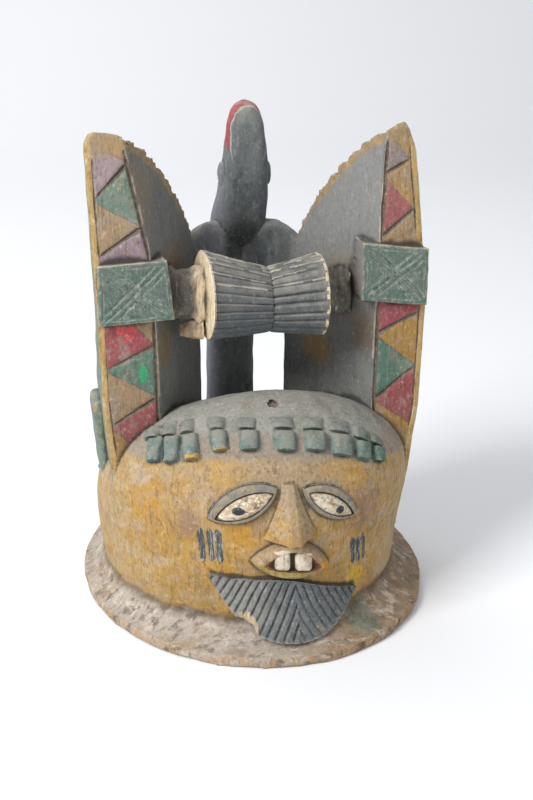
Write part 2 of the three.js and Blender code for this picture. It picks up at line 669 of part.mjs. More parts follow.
// Post and bird in one: the post leans forward into the breast, the neck and the raised head
function makeBird() {
  const rings = BIRD_STATIONS.map((station) => {
    const ring = [];
    for (let i = 0; i < BIRD_SIDES; i += 1) {
      const angle = (2 * Math.PI * i) / BIRD_SIDES;
      const flat = 1 - BIRD_FRONT_FLAT * Math.max(0, -Math.sin(angle)) ** 2;
      ring.push(vec(station.x + station.halfWidth * Math.cos(angle),
        station.y + station.halfDepth * Math.sin(angle) * flat, station.z));
    }
    return ring;
  });
  const jaws = [-1, 1].map((side) => lump(vec(JAW.x + side * JAW.away, JAW.y, JAW.z), vec(0, 1, 0),
    vec(side, 0, 0), JAW.halfDeep, JAW.halfTall, JAW.halfWide));
  return joinAll([loft(rings), ...jaws]);
}

// A wing from the bird's breast to the ear's inner edge. Its flat front leans back from its low
// inner corner to its rounded top, so that the neck stands in a valley between the two wings.
function makeWing(side) {
  return loft(WING_STATIONS.map(({ x, low, high, top, bottom }) => WING_SECTION.map(([back, rise]) => {
    const y = THREE.MathUtils.lerp(low, high, rise) + back * WING_THICK;
    return vec(side * (x + WING_LEAN * rise), y, THREE.MathUtils.lerp(bottom, top, rise));
  })));
}

// A raised block of hair on the outer side of each ear, eased at its top and faded out below
function makeSideLock(side) {
  const { front, back, bottom, full, top, lift } = SIDE_LOCK;
  const ear = EARS.find((item) => item.side === side);
  const ring = (z, out) => [[front, 0], [back, 0], [back - 4, out], [front + 4, out]].map(([y, away]) => vec(
    side * (readAt(ear.outer, z) - (away === 0 ? 14 : 0) + away), y, z));
  return loft([ring(bottom, -2), ring(full, lift), ring(top - 4, lift), ring(top, lift - 3)]);
}

function makeMask() {
  let head = EYES.reduce(makeEye, makeShell());
  head = makeMouth(head.add(makeNose()));
  head = cutScars(head.add(makeBeard()));
  const ears = EARS.map((ear) => addPanel(cutStrip(makeEar(ear), ear), ear).add(makeSideLock(ear.side)));
  const bird = [makeBird(), makeWing(-1), makeWing(1)];
  const whole = joinAll([head, ...frontHair(), ...backHair(), ...ears, makeDrum(), ...bird]);
  return whole.subtract(makeHollow());
}

// The mask as a three.js geometry, with the rim's middle moved to the origin
function geometryOf(solid) {
  const mesh = solid.getMesh();
  const geometry = new THREE.BufferGeometry();
  geometry.setAttribute('position', new THREE.BufferAttribute(new Float32Array(mesh.vertProperties), 3));
  geometry.setIndex(new THREE.BufferAttribute(new Uint32Array(mesh.triVerts), 1));
  geometry.translate(-RIM_MIDDLE.x, -RIM_MIDDLE.y, 0);
  geometry.computeVertexNormals();
  return geometry;
}

const wood = new THREE.MeshStandardMaterial({ color: 0xb08a45, roughness: 0.8, metalness: 0 });
const mask = new THREE.Mesh(geometryOf(makeMask()), wood);
mask.name = 'helmet_mask';

const group = new THREE.Group();
group.add(mask);

export default group;
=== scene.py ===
import math

import bmesh
import bpy
import numpy as np
from bpy.props import FloatProperty, FloatVectorProperty, IntProperty, PointerProperty
from bpy.types import Operator, Panel, PropertyGroup
from mathutils import Matrix, Vector, noise


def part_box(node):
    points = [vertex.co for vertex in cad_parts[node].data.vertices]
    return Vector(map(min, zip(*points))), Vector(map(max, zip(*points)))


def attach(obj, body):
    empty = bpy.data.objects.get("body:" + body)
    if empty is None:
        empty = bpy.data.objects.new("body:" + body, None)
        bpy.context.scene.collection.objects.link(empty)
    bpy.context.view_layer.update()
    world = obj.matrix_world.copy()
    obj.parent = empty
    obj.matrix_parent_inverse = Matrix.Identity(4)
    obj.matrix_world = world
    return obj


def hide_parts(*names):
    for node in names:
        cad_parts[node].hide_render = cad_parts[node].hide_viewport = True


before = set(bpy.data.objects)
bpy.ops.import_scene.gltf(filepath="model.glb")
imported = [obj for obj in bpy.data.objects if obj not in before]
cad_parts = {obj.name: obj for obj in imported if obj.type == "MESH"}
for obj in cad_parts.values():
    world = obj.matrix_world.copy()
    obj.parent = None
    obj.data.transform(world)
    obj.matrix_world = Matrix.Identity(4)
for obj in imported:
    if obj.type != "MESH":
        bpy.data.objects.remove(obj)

# A carved and painted helmet mask. It is modelled in millimetres round the middle of the face, with the
# face towards -Y, as sub-solids that are joined into one carving, hollowed, worn and moved to the frame.

bl_info = {
    "name": "Helmet mask",
    "version": (1, 0, 0),
    "blender": (4, 5, 0),
    "location": "View3D > Sidebar > Mask",
    "description": "Carves and paints a hollow wooden helmet mask with tall ears, a drum and a bird",
    "category": "Mesh",
}

MM = 0.001
CAD_LOW, CAD_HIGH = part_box("helmet_mask")

# The frame's origin is under the middle of the rim, which lies a little beside the middle of the face
RIM_MIDDLE = Vector((4.0, 12.0, 0.0))
RIM_HALF_WIDTH = (CAD_HIGH.x - CAD_LOW.x) / 2 / MM
RIM_HALF_DEPTH = (CAD_HIGH.y - CAD_LOW.y) / 2 / MM
TOP_Z = CAD_HIGH.z / MM

# Rim and head shell, mm
RIM_EDGE = 9.0
RIM_EASE = 2.0
RIM_FLAT_Z = 0.68
FLARE_TOP_Z = 27.0
FLARE_CURVE = 1.7
HEAD_HALF_WIDTH = 127.0
HEAD_FOOT_TAPER = 11.0
FRONT_Y = -131.0
BACK_Y = 149.0
CROWN_Y = -62.0
CROWN_Z = 188.0
SHOULDER_Z = 100.0
BACK_SHOULDER_Z = 58.0
HOLLOW_TOP_Z = 168.0
HOLLOW_COLUMNS = 110
HOLLOW_ROWS = 38
HOLLOW_SHARE = 0.75
HEAD_COLUMNS = 204
WALL_ROWS = 30
CROWN_ROWS = 66
FLARE_ROWS = 9

# Face, mm and degrees
NOSE = {"x": 5.5, "top": 135, "bottom": 94, "ridge": 5, "top_half": 6, "bottom_half": 21, "root_lift": 3,
        "lift": 17, "droop": 0.15}
EYES = [
    {"x": -29.5, "z": 121.8, "half": 26, "height": 12, "tilt": 23, "drop": 1.8},
    {"x": 38, "z": 116.8, "half": 24, "height": 10.5, "tilt": -32, "drop": 1.2},
]
EYE_LIFT = 4.5
LID_LINE = {"start": 172, "end": 12, "half": 1.1, "height": 1.16, "power": 1.5, "lift": 0.6, "width": 2.2,
            "depth": 1.3}
PUPILS = [
    {"x": -33.5, "z": 118.0, "half": 4.9, "height": 3.2},
    {"x": 43, "z": 111.5, "half": 3.5, "height": 3.2},
]
MOUTH = {"x": 6.3, "z": 76, "half": 29, "height": 14.5, "tilt": -9, "bend": 4, "lift": 9}
MOUTH_GAP = {"half": 21, "height": 8.5, "depth": 4.5}
TEETH = [
    {"x": -2.2, "z": 78, "half": 5.8, "height": 16},
    {"x": 13.6, "z": 75.2, "half": 6.3, "height": 15.6},
]
BEARD = {"x": 3, "z": 51.5, "half": 59, "root_share": 0.55, "drop": 36, "arch": 8, "tilt": -12,
         "top_lift": 4, "bottom_lift": 24}
BEARD_CURVE = {"left": 1.8, "right": 2.5}
BEARD_STROKE = 5.3
BEARD_PART_X = 8.0
BEARD_LEAN = {"left": 27.0, "right": 22.0}
BEARD_CHIP = {"x": -28, "z": 37.5, "lift": 23.0, "size": 14.5}
SCARS = (
    {"xs": (-61, -55, -49), "top": 101, "bottom": 72},
    {"xs": (58.5, 63.5, 68.5), "top": 81, "bottom": 56},
)
SCAR_WIDTH = 6.8
SCAR_DEPTH = 1.8
SCAR_LEAN = 2.0
CROWN_HOLE = Vector((3.0, -82.0, 184.0))
# The lower edge of the hair's paint over the face: its height in the middle, its fall and its slope
HAIRLINE = {"z": 152.0, "fall": -0.0012, "slope": -0.055}

# Hair, mm and degrees
# Each front column: x, the height of its low and of its high lump, and half its width
HAIR_COLUMNS = (
    (-88.5, 153.5, 161.7, 6.9), (-77, 156.5, 167, 6.5), (-64, 159.5, 171, 6), (-43, 164.5, 174.5, 6.3),
    (-21, 165, 175, 7.2), (6, 163.5, 174, 8.8), (29.5, 161, 171.6, 8.4), (51, 155, 167, 8.6),
    (68.5, 147.5, 158.7, 7.6), (82.5, 141, 150, 6.8),
)
# The low and the high lump: half height as a share of their distance, and how far each stands out
HAIR_SHARES = ((0.60, 7.0), (0.40, 4.6))
HAIR_BACK_ROWS = [
    {"z": 135, "drop": 28, "height": 13, "lift": 6, "span": 58, "count": 6, "half": 15.5},
    {"z": 103, "drop": 22, "height": 13, "lift": 6, "span": 66, "count": 8, "half": 15.5},
]
SIDE_LOCK = {"front": -34, "back": 9, "bottom": 84, "top": 177, "lift": 6}

# Ears, mm: pairs are height and distance from the middle plane
EAR_STRIP_Y = -57.0
EAR_FOOT_Z = 60.0
EAR_PAINT_Z = 92.0
EAR_TOP_Z = 391.0
EAR_DEPTH = ((60, 70), (170, 68), (210, 54), (300, 32), (395, 11))
EAR_EDGE_THICK = ((60, 18), (200, 16), (395, 9))
EAR_INNER_EDGE = Vector((34.0, 22.0, 0.0))
EARS = {
    "left": {
        "side": -1,
        "outer": ((60, 113), (110, 119), (187, 125.5), (250, 126.5), (330, 130), (395, 132)),
        "inner": ((60, 96), (165, 80), (250, 82), (302, 85), (395, 104)),
        "tip": (122, -19.5),
        "panel": {"inner": 68, "inner_top": 73, "outer": 126, "low": 249, "high": 296, "slope": -0.04},
        "cuts": ((342, 367), (299, 320), (211, 228), (165, 186)),
    },
    "right": {
        "side": 1,
        "outer": ((60, 113), (110, 122.5), (165, 129), (255, 132), (325, 125), (395, 117)),
        "inner": ((60, 104), (165, 88), (250, 90), (330, 92), (395, 95)),
        "tip": (107, -13),
        "panel": {"inner": 76, "inner_top": 76, "outer": 130, "low": 255, "high": 301, "slope": -0.13},
        "cuts": ((362, 352), (324, 303), (242, 226), (197, 171)),
    },
}
EAR_TIP = ((14.5, -34), (12.8, -25), (10.5, -17), (7.2, -8), (3.2, -1.6), (-2, 1), (-4, 2))
BORDER_INSET = 6.0
# The curved edge of an ear's inner side: how far it lies inward of the strip, and its height
EAR_CURVE = ((-16, 391), (-5, 383), (12, 374), (27, 362), (44, 345), (60, 326), (75, 302), (83, 278),
             (93, 235))
EDGE_REACH = 14.0
PANEL_LIFT = 7.0
SCALLOP_DEPTH = 3.0
SCALLOP_FADE = 0.25

# Drum, mm
DRUM = {"y": -48, "left": -46, "right": 48, "waist": 6}
DRUM_END = {"shift": 1.5, "slant": 2.5}
DRUM_AXIS_Z = ((-46, 263), (6, 256), (48, 258.5))
DRUM_RADIUS = ((-46, 34.5), (6, 24.5), (48, 31.8))
DRUM_COLUMNS = 384
DRUM_LINE = {"half": 0.075, "upper": 0.4, "gaps": -0.22}
DRUM_STUBS = (
    ("torn_wood", ((-43, -40, 262, 24), (-57, -38, 263, 18), (-75, -36, 266, 22))),
    ("torn_wood", ((45, -36, 256, 18), (74, -28, 256, 18))),
    ("splinter_wood", ((-46, -50, 238, 10), (-52, -47, 236, 8), (-62, -40, 234, 5))),
)

# Post, bird and wings, mm: height, x, y, half width, half depth
BIRD_STATIONS = (
    (118, -3, 66, 21, 18), (180, -3, 64, 20.5, 17), (236, -2, 58, 20, 20), (270, 0, 50, 21, 27),
    (300, 0, 40, 22, 28), (322, 2, 31, 20.5, 24), (345, 3, 25, 18.5, 22), (365, 3, 22, 16.5, 20),
    (382, 3, 21, 14.5, 17), (390, 3, 22, 11.8, 14), (395, 3, 23, 8.5, 11), (TOP_Z, 3, 24, 3.5, 5),
)
BIRD_SQUARENESS = 3.4
JAW = {"x": 3, "away": 17.5, "y": 27, "z": 340, "half_deep": 10, "half_tall": 10.5, "half_wide": 4}
WING_THICK = 18.0
WING_LEAN = 5.0
# Along a wing: x, the front's y below and above, and the bottom and top height
WING_STATIONS = ((-7, 15, 31, 250, 295), (12, 9.8, 19, 250, 303), (24, 9.8, 18, 250, 302),
                 (34, 9.5, 16, 252, 297), (44, 6, 12, 255, 288))
WING_SECTION = ((0, 0), (0, 0.5), (0, 0.88), (0.2, 1), (0.8, 1), (1, 0.9), (1, 0.5), (0.9, 0))

# Painted zones of the ear strips from the top down: the colour above each edge, and the edge's height
# at the outer and at the inner border. The last colour fills what is left.
STRIP_ZONES = {
    "left": [("ochre", 383, 369), ("mauve", 342, 367), ("green", 340, 320), ("earth", 299, 320),
             ("mauve", 250, 250), ("earth", 272, 228), ("red", 211, 228), ("green", 209, 187),
             ("earth", 165, 186), ("red", 162, 129), ("ochre", 0, 0)],
    "right": [("ochre", 361.5, 383), ("mauve", 362, 352), ("ochre", 323, 350), ("red", 324, 303),
              ("earth", 255, 255), ("red", 242, 226), ("ochre", 197, 224), ("green", 197, 171),
              ("red", 148, 170), ("ochre", 0, 0)],
}

# Every sub-solid carries the same list of finishes, so a face keeps its number through each cut and join
FINISHES = [
    "ochre_paint", "slate_paint", "left_strip_paint", "right_strip_paint", "panel_paint", "hair_paint",
    "beard_paint", "lid_paint", "eye_paint", "lip_paint", "tooth_paint", "mouth_paint", "fresh_cut_wood",
    "hollow_wood", "groove_dirt_and_shade", "side_paint", "edge_paint", "scar_paint", "panel_cut", "torn_wood",
    "splinter_wood", "rubbed_ridge",
]


def linear(code):
    """The linear colour of an sRGB hex code."""
    shares = [int(code[i:i + 2], 16) / 255 for i in (1, 3, 5)]
    return (*[s / 12.92 if s <= 0.04045 else ((s + 0.055) / 1.055) ** 2.4 for s in shares], 1.0)


def clamp(value, low=0.0, high=1.0):
    return max(low, min(high, value))


def between(a, b, share):
    return a + (b - a) * share


def read_at(pairs, z):
    """Straight-line reading of (z, value) pairs."""
    for (z0, v0), (z1, v1) in zip(pairs, pairs[1:]):
        if z <= z1:
            return between(v0, v1, clamp((z - z0) / (z1 - z0)))
    return pairs[-1][1]


def wander(seed, value, size):
    """A smooth hand's wobble between -1 and 1 along one value, on a length in mm."""
    return noise.noise(Vector((value / size, seed * 7.3, seed * 3.1)))


# Sub-solids as meshes


def skin(columns, rows, place):
    """A closed tube: a grid with its columns run round and its rows run along by place(u, v)."""
    bm = bmesh.new()
    bmesh.ops.create_grid(bm, x_segments=columns, y_segments=rows, size=0.5)
    for vert in bm.verts:
        vert.co = place(vert.co.x + 0.5, vert.co.y + 0.5)
    bmesh.ops.remove_doubles(bm, verts=bm.verts[:], dist=0.005)
    bmesh.ops.holes_fill(bm, edges=[edge for edge in bm.edges if edge.is_boundary], sides=0)
    bmesh.ops.recalc_face_normals(bm, faces=bm.faces[:])
    bm.normal_update()
    return bm


def knife(bm, size, depth, seed=0.0, stretch=(1.0, 1.0, 1.0)):
    """Shallow knife marks: bowls that meet in soft ridges, size mm wide and depth mm deep."""
    bm.normal_update()
    shift = Vector((seed * 31.7, seed * 17.1, seed * 9.9))
    for vert in bm.verts:
        place = Vector([a / (size * b) for a, b in zip(vert.co, stretch)]) + shift
        near = noise.voronoi(place, distance_metric="DISTANCE")[0][0]
        rough = noise.noise(place * 2.7)
        vert.co -= vert.normal * depth * (1 - min(1, near * 1.3) ** 2 + 0.35 * rough)


def as_object(context, bm, name, finish):
    """A bmesh as an object, all in one finish where its faces have none of their own."""
    mesh = bpy.data.meshes.new(name)
    if finish is not None:
        for face in bm.faces:
            face.material_index = FINISHES.index(finish)
    bm.to_mesh(mesh)
    bm.free()
    for item in FINISHES:
        mesh.materials.append(bpy.data.materials[item])
    piece = bpy.data.objects.new(name, mesh)
    context.collection.objects.link(piece)
    return piece


def combine(context, base, others, operation):
    """Joins solids to the base, cuts them from it, or keeps what they share, and removes them."""
    for other in others:
        step = base.modifiers.new("combine", "BOOLEAN")
        step.solver = "MANIFOLD"
        step.operation = operation
        step.material_mode = "INDEX"
        step.object = other
        with context.temp_override(object=base, active_object=base):
            bpy.ops.object.modifier_apply(modifier=step.name)
        mesh = other.data
        bpy.data.objects.remove(other)
        bpy.data.meshes.remove(mesh)
    if not base.data.polygons:
        raise RuntimeError(f"{base.name}: nothing is left after {operation.lower()}")
    return base


def groove(context, points, outwards, width, depth, finish, taper=True):
    """A three-sided cutter along points, sharp at its bottom and shallower towards its ends."""
    last = len(points) - 1
    corners = []
    for i, (point, out) in enumerate(zip(points, outwards)):
        along = (points[min(last, i + 1)] - points[max(0, i - 1)]).normalized()
        across = along.cross(out).normalized()
        share = i / last
        bite = depth * (clamp(min(share, 1 - share) * 8 + 0.25) if taper else 1.0)
        half = width / 2
        rise = depth + 0.6
        spread = half * (bite + rise) / depth
        corners.append((point - across * spread + out * rise, point + across * spread + out * rise,
                        point - out * bite))
    bm = skin(3, last, lambda u, v: corners[round(v * last)][round(u * 3) % 3])
    return as_object(context, bm, "groove", finish)


def straight_groove(context, start, end, outward, width, depth, finish, seed, steps=10):
    """A groove between two points, with the slight wobble of a hand-held knife."""
    side = (end - start).cross(outward).normalized()
    length = (end - start).length
    points = [start.lerp(end, i / steps) + side * 0.45 * wander(seed, length * i / steps, 14)
              for i in range(steps + 1)]
    return groove(context, points, [outward] * (steps + 1), width, depth, finish)


# The head's skin


def head_section(z):
    """Half width, middle y and half depth of the head's level section at height z."""
    rise = clamp((z - SHOULDER_Z) / (CROWN_Z - SHOULDER_Z), 0, 0.9999)
    round_share = math.sqrt(1 - rise * rise)
    back_rise = clamp((z - BACK_SHOULDER_Z) / (CROWN_Z - BACK_SHOULDER_Z), 0, 0.9999)
    back_share = (1 - back_rise ** 1.3) ** 0.9
    foot = clamp(1 - z / SHOULDER_Z)
    front = CROWN_Y + (FRONT_Y - CROWN_Y) * round_share
    back = CROWN_Y + (BACK_Y - CROWN_Y) * back_share
    half_width = HEAD_HALF_WIDTH * round_share - HEAD_FOOT_TAPER * foot * foot
    return half_width, (front + back) / 2, (back - front) / 2


def head_point(angle, z, inset=0.0):
    """A point of the skin at height z, at an angle from the middle of the face."""
    half_width, middle, half_depth = head_section(z)
    return Vector(((half_width - inset) * math.sin(angle),
                   middle - (half_depth - inset) * math.cos(angle), z))


def head_normal(angle, z):
    step = 0.01
    across = head_point(angle + step, z) - head_point(angle - step, z)
    up = head_point(angle, z + 0.5) - head_point(angle, z - 0.5)
    return across.cross(up).normalized()


def face_angle(x, z):
    return math.asin(clamp(x / head_section(z)[0], -1, 1))


def on_face(x, z, lift):
    """A point standing off the front of the head above the place at x and z."""
    angle = face_angle(x, z)
    return head_point(angle, z) + head_normal(angle, z) * lift


def shell_point(angle, level):
    """A point of the outside: rim, flare or wall."""
    kind, value = level
    wobble = 1.3 * wander(1, math.sin(angle) * 140, 60) + 0.9 * wander(2, math.cos(angle) * 170, 34)
    wobble += 0.5 * wander(3, angle * 150, 9)
    if kind == "head":
        return head_point(angle, value)
    if kind == "rim":
        inset, z = value
        inset += 1.2 - wobble if z > 0 else 2.4
        return Vector((RIM_MIDDLE.x + (RIM_HALF_WIDTH - inset) * math.sin(angle),
                       RIM_MIDDLE.y - (RIM_HALF_DEPTH - inset) * math.cos(angle), z))
    edge = shell_point(angle, ("rim", (0.8, RIM_EDGE)))
    wall = shell_point(angle, ("head", FLARE_TOP_Z))
    point = edge.lerp(wall, value)
    point.z = between(RIM_EDGE + 1.2 * wander(4, angle * 150, 50), FLARE_TOP_Z, value ** FLARE_CURVE)
    return point


def make_shell(context):
    levels = [("rim", (RIM_EASE, 0.0)), ("rim", (0.5, 0.7)), ("rim", (0.0, 2.2)), ("rim", (-0.3, 4.5)),
              ("rim", (0.0, 7.0)), ("rim", (0.4, 8.4))]
    levels += [("flare", i / FLARE_ROWS) for i in range(FLARE_ROWS)]
    levels += [("head", between(FLARE_TOP_Z, SHOULDER_Z, i / WALL_ROWS)) for i in range(WALL_ROWS)]
    levels += [("head", SHOULDER_Z + (CROWN_Z - SHOULDER_Z) * math.sin(math.radians(89.2 * i / CROWN_ROWS)))
               for i in range(CROWN_ROWS + 1)]
    last = len(levels) - 1

    def place(u, v):
        angle = 2 * math.pi * (u % 1) - 0.6 * math.sin(2 * math.pi * u)
        return shell_point(angle, levels[round(v * last)])

    bm = skin(HEAD_COLUMNS, last, place)
    knife(bm, 17, 0.7, stretch=(1, 1, 1.8))
    for vert in bm.verts:
        if vert.co.z < RIM_FLAT_Z:
            vert.co.z = 0.0
    return as_object(context, bm, "shell", "ochre_paint")


def make_hollow(context):
    """The head's inside. Its inset stays a share of its half sizes, or the top would turn inside out."""
    wall = context.scene.mask_sizes.wall / MM
    levels = [-6.0, -3.0]
    levels += [between(3, HOLLOW_TOP_Z, math.sin(math.radians(90 * i / HOLLOW_ROWS)))
               for i in range(HOLLOW_ROWS + 1)]
    last = len(levels) - 1

    def place(u, v):
        z = levels[round(v * last)]
        above = z + wall * max(0.0, z) / HOLLOW_TOP_Z
        half_width, _, half_depth = head_section(above)
        inset = min(wall, HOLLOW_SHARE * half_width, HOLLOW_SHARE * half_depth)
        point = head_point(2 * math.pi * (u % 1), above, inset)
        return Vector((point.x, point.y, z))

    bm = skin(HOLLOW_COLUMNS, last, place)
    knife(bm, 19, 0.9, seed=2, stretch=(1, 1, 1.6))
    return as_object(context, bm, "hollow", "hollow_wood")


# Face


def leaf(context, spot, layers, sides, finish, drop=0.0):
    """A leaf pointed at both ends on the face: each layer is its length, height and lift."""
    turn = math.radians(spot["tilt"])
    last = len(layers) - 1

    def place(u, v):
        length, height, lift = layers[round(v * last)]
        angle = 2 * math.pi * (u % 1)
        along = spot["half"] * length * math.cos(angle)
        sine = math.sin(angle)
        across = math.copysign(abs(sine) ** 1.6, sine) * spot["height"] * height - drop
        across -= spot.get("bend", 0) * math.cos(angle) ** 2
        return on_face(spot["x"] + along * math.cos(turn) - across * math.sin(turn),
                       spot["z"] + along * math.sin(turn) + across * math.cos(turn), lift)

    return as_object(context, skin(sides, last, place), "leaf", finish)


def carve_eye(context, head, eye):
    lids = leaf(context, eye, [(1.12, 1.14, -6), (1.09, 1.1, 0.8), (1.06, 1.06, 2.6), (1.01, 1.0, 3.9),
                               (0.95, 0.93, EYE_LIFT), (0.85, 0.82, EYE_LIFT)], 72, "lid_paint")
    socket = leaf(context, eye, [(0.89, 0.66, 1.8), (0.91, 0.69, 12)], 64, "groove_dirt_and_shade", eye["drop"])
    ball = leaf(context, eye, [(0.88, 0.66, -2), (0.87, 0.63, 1.8), (0.83, 0.58, 3.2), (0.7, 0.48, 4.5),
                               (0.5, 0.34, 5.2), (0.25, 0.17, 5.6), (0.04, 0.03, 5.7)],
                64, "eye_paint", eye["drop"] + 0.4)
    combine(context, head, [lids], "UNION")
    combine(context, head, [socket], "DIFFERENCE")
    combine(context, head, [ball], "UNION")
    turn = math.radians(eye["tilt"])
    steps = 16
    points = []
    outwards = []
    for i in range(steps + 1):
        angle = math.radians(between(LID_LINE["start"], LID_LINE["end"], i / steps))
        along = eye["half"] * LID_LINE["half"] * math.cos(angle)
        across = eye["height"] * LID_LINE["height"] * math.sin(angle) ** LID_LINE["power"]
        x = eye["x"] + along * math.cos(turn) - across * math.sin(turn)
        z = eye["z"] + along * math.sin(turn) + across * math.cos(turn)
        points.append(on_face(x, z, LID_LINE["lift"]))
        outwards.append(head_normal(face_angle(x, z), z))
    line = groove(context, points, outwards, LID_LINE["width"], LID_LINE["depth"], "scar_paint")
    combine(context, head, [line], "DIFFERENCE")


def walk(corners, share):
    """The point that lies a share of the way round a closed outline."""
    lengths = [(b - a).length for a, b in zip(corners, corners[1:] + corners[:1])]
    left = (share % 1) * sum(lengths)
    for i, length in enumerate(lengths):
        if left <= length:
            return corners[i].lerp(corners[(i + 1) % len(corners)], left / length)
        left -= length
    return corners[0]


def make_nose(context):
    rows = 30

    def section(share):
        z = between(NOSE["top"], NOSE["bottom"], share)
        half = between(NOSE["top_half"], NOSE["bottom_half"], share ** 1.3)
        lift = between(NOSE["root_lift"], NOSE["lift"], share ** 1.1)
        ridge = NOSE["ridge"] / 2 + 1.2 * share
        return [on_face(NOSE["x"] + side * x, z, out) for side, x, out in (
            (-1, half, -4), (-1, half, 0.5), (-1, half * 0.74, lift * 0.38), (-1, ridge, lift),
            (1, ridge, lift), (1, half * 0.74, lift * 0.38), (1, half, 0.5), (1, half, -4))]

    def place(u, v):
        point = walk(section(v), u)
        point.z += (point.y - FRONT_Y) * NOSE["droop"] * clamp((v - 0.6) / 0.4)
        return point

    bm = skin(76, rows, place)
    soften(bm, 0.4, 1)
    knife(bm, 8, 0.3, seed=3)
    return as_object(context, bm, "nose", "ochre_paint")


def soften(bm, factor, times, verts=None):
    """Rounds a mesh's edges a little, as wear and paint do."""
    for _ in range(times):
        bmesh.ops.smooth_vert(bm, verts=verts or bm.verts[:], factor=factor,
                              use_axis_x=True, use_axis_y=True, use_axis_z=True)


def block(context, corners_at, layers, name, finish):
    """A block with eased edges: a square outline run through layers of inset and lift."""
    last = len(layers) - 1
    sides = 40

    def place(u, v):
        inset, lift = layers[round(v * last)]
        angle = 2 * math.pi * u
        x = math.copysign(abs(math.cos(angle)) ** 0.42, math.cos(angle))
        z = math.copysign(abs(math.sin(angle)) ** 0.42, math.sin(angle))
        return corners_at(x * (1 - inset), z * (1 - inset), lift)

    return as_object(context, skin(sides, last, place), name, finish)


def carve_mouth(context, head):
    lips = leaf(context, MOUTH, [(1.12, 1.1, -8), (1.07, 1.05, 1), (1.02, 1.0, 4.5), (0.96, 0.95, 7.4),
                                 (0.9, 0.88, MOUTH["lift"]), (0.78, 0.76, MOUTH["lift"] + 0.4)],
                72, "lip_paint")
    gap = dict(MOUTH, half=MOUTH_GAP["half"], height=MOUTH_GAP["height"])
    floor = MOUTH["lift"] - MOUTH_GAP["depth"]
    opening = leaf(context, gap, [(0.62, 0.84, floor), (1.0, 1.0, MOUTH["lift"]), (1.14, 1.1, 14)], 56,
                   "mouth_paint")
    combine(context, head, [lips], "UNION")
    combine(context, head, [opening], "DIFFERENCE")
    slope = math.tan(math.radians(MOUTH["tilt"]))
    for tooth in TEETH:
        def corners_at(x, z, lift, tooth=tooth):
            across = x * tooth["half"]
            return on_face(tooth["x"] + across, tooth["z"] + across * slope + z * tooth["height"] / 2, lift)

        top = MOUTH["lift"]
        layers = [(0, -2), (0, top - 3), (0.03, top - 1.6), (0.12, top - 0.5), (0.3, top), (0.7, top + 0.2)]
        combine(context, head, [block(context, corners_at, layers, "tooth", "tooth_paint")], "UNION")


def beard_curve(u):
    return BEARD_CURVE["left" if u < 0 else "right"]


def beard_place(u, share):
    """The x and z of the beard at u across it and share down a lock."""
    turn = math.radians(BEARD["tilt"])
    spread = min(1.0, abs(u))
    root = Vector((BEARD["root_share"] * u * BEARD["half"], BEARD["arch"] * (1 - spread ** 2)))
    end = Vector((u * BEARD["half"], -BEARD["drop"] * (1 - spread ** beard_curve(u))))
    across = between(root.x + (end.x - root.x) * spread ** 3, end.x, share)
    down = between(root.y, end.y, share)
    return (BEARD["x"] + across * math.cos(turn) - down * math.sin(turn),
            BEARD["z"] + across * math.sin(turn) + down * math.cos(turn))


def make_beard(context):
    """A slab with slanting strokes that meet in a row of chevrons under the mouth."""
    columns = 76
    front = 70

    def place(u, v):
        across = 0.995 * (2 * v - 1)
        step = round(u * columns) % columns
        if step > front:
            back = (step - front) / (columns - front)
            x, z = beard_place(across, back)
            return on_face(x, z, -8)
        share = 1 - step / front
        fall = 1 - abs(across) ** beard_curve(across)
        lift = BEARD["top_lift"] + (BEARD["bottom_lift"] - BEARD["top_lift"]) * (share * fall) ** 1.4
        x, z = beard_place(across, share)
        side = "left" if x < BEARD_PART_X else "right"
        lean = math.radians(BEARD_LEAN[side])
        phase = (abs(x - BEARD_PART_X) * math.cos(lean) + (z - 40) * math.sin(lean)) / BEARD_STROKE
        swing = 0.3 * noise.noise(Vector((x / 30, z / 30, 4)))
        phase += swing + 0.08 * noise.noise(Vector((x / 7, z / 12, 6)))
        distance = abs((phase + 0.5) % 1 - 0.5)
        stroke = max(0.0, 1 - distance * 3.9)
        depth = 1.9 + 0.8 * noise.noise(Vector((round(phase) * 1.7, 2, z / 30)))
        if side == "right":
            depth *= 0.75
        ends = clamp(share * 9) * clamp((1 - share) * 14 + 0.3)
        return on_face(x, z, lift - depth * stroke * ends)

    bm = skin(columns, 206, place)
    knife(bm, 5, 0.3, seed=5)
    beard = as_object(context, bm, "beard", "beard_paint")
    turn = math.radians(BEARD["tilt"])
    middle = on_face(BEARD_CHIP["x"], BEARD_CHIP["z"], BEARD_CHIP["lift"])
    chip = bmesh.new()
    bmesh.ops.create_icosphere(chip, subdivisions=4, radius=1.0)
    for vert in chip.verts:
        size = BEARD_CHIP["size"] * (1 + 0.22 * noise.noise(vert.co * 2.3))
        local = Vector((vert.co.x * size * 0.8, vert.co.y * 11, vert.co.z * size * 1.5))
        vert.co = middle + Matrix.Rotation(-turn - math.radians(24), 3, "Y") @ local
    combine(context, beard, [as_object(context, chip, "chip", "torn_wood")], "DIFFERENCE")
    return beard


def cut_crown(context, head):
    """A small ragged pit where a piece has fallen from the top of the head."""
    pit = bmesh.new()
    bmesh.ops.create_icosphere(pit, subdivisions=3, radius=1.0)
    for vert in pit.verts:
        size = 1 + 0.5 * noise.noise(vert.co * 1.9)
        vert.co = CROWN_HOLE + Vector((vert.co.x * 4.6 * size, vert.co.y * 5.5 * size, vert.co.z * 3.2))
    combine(context, head, [as_object(context, pit, "pit", "groove_dirt_and_shade")], "DIFFERENCE")


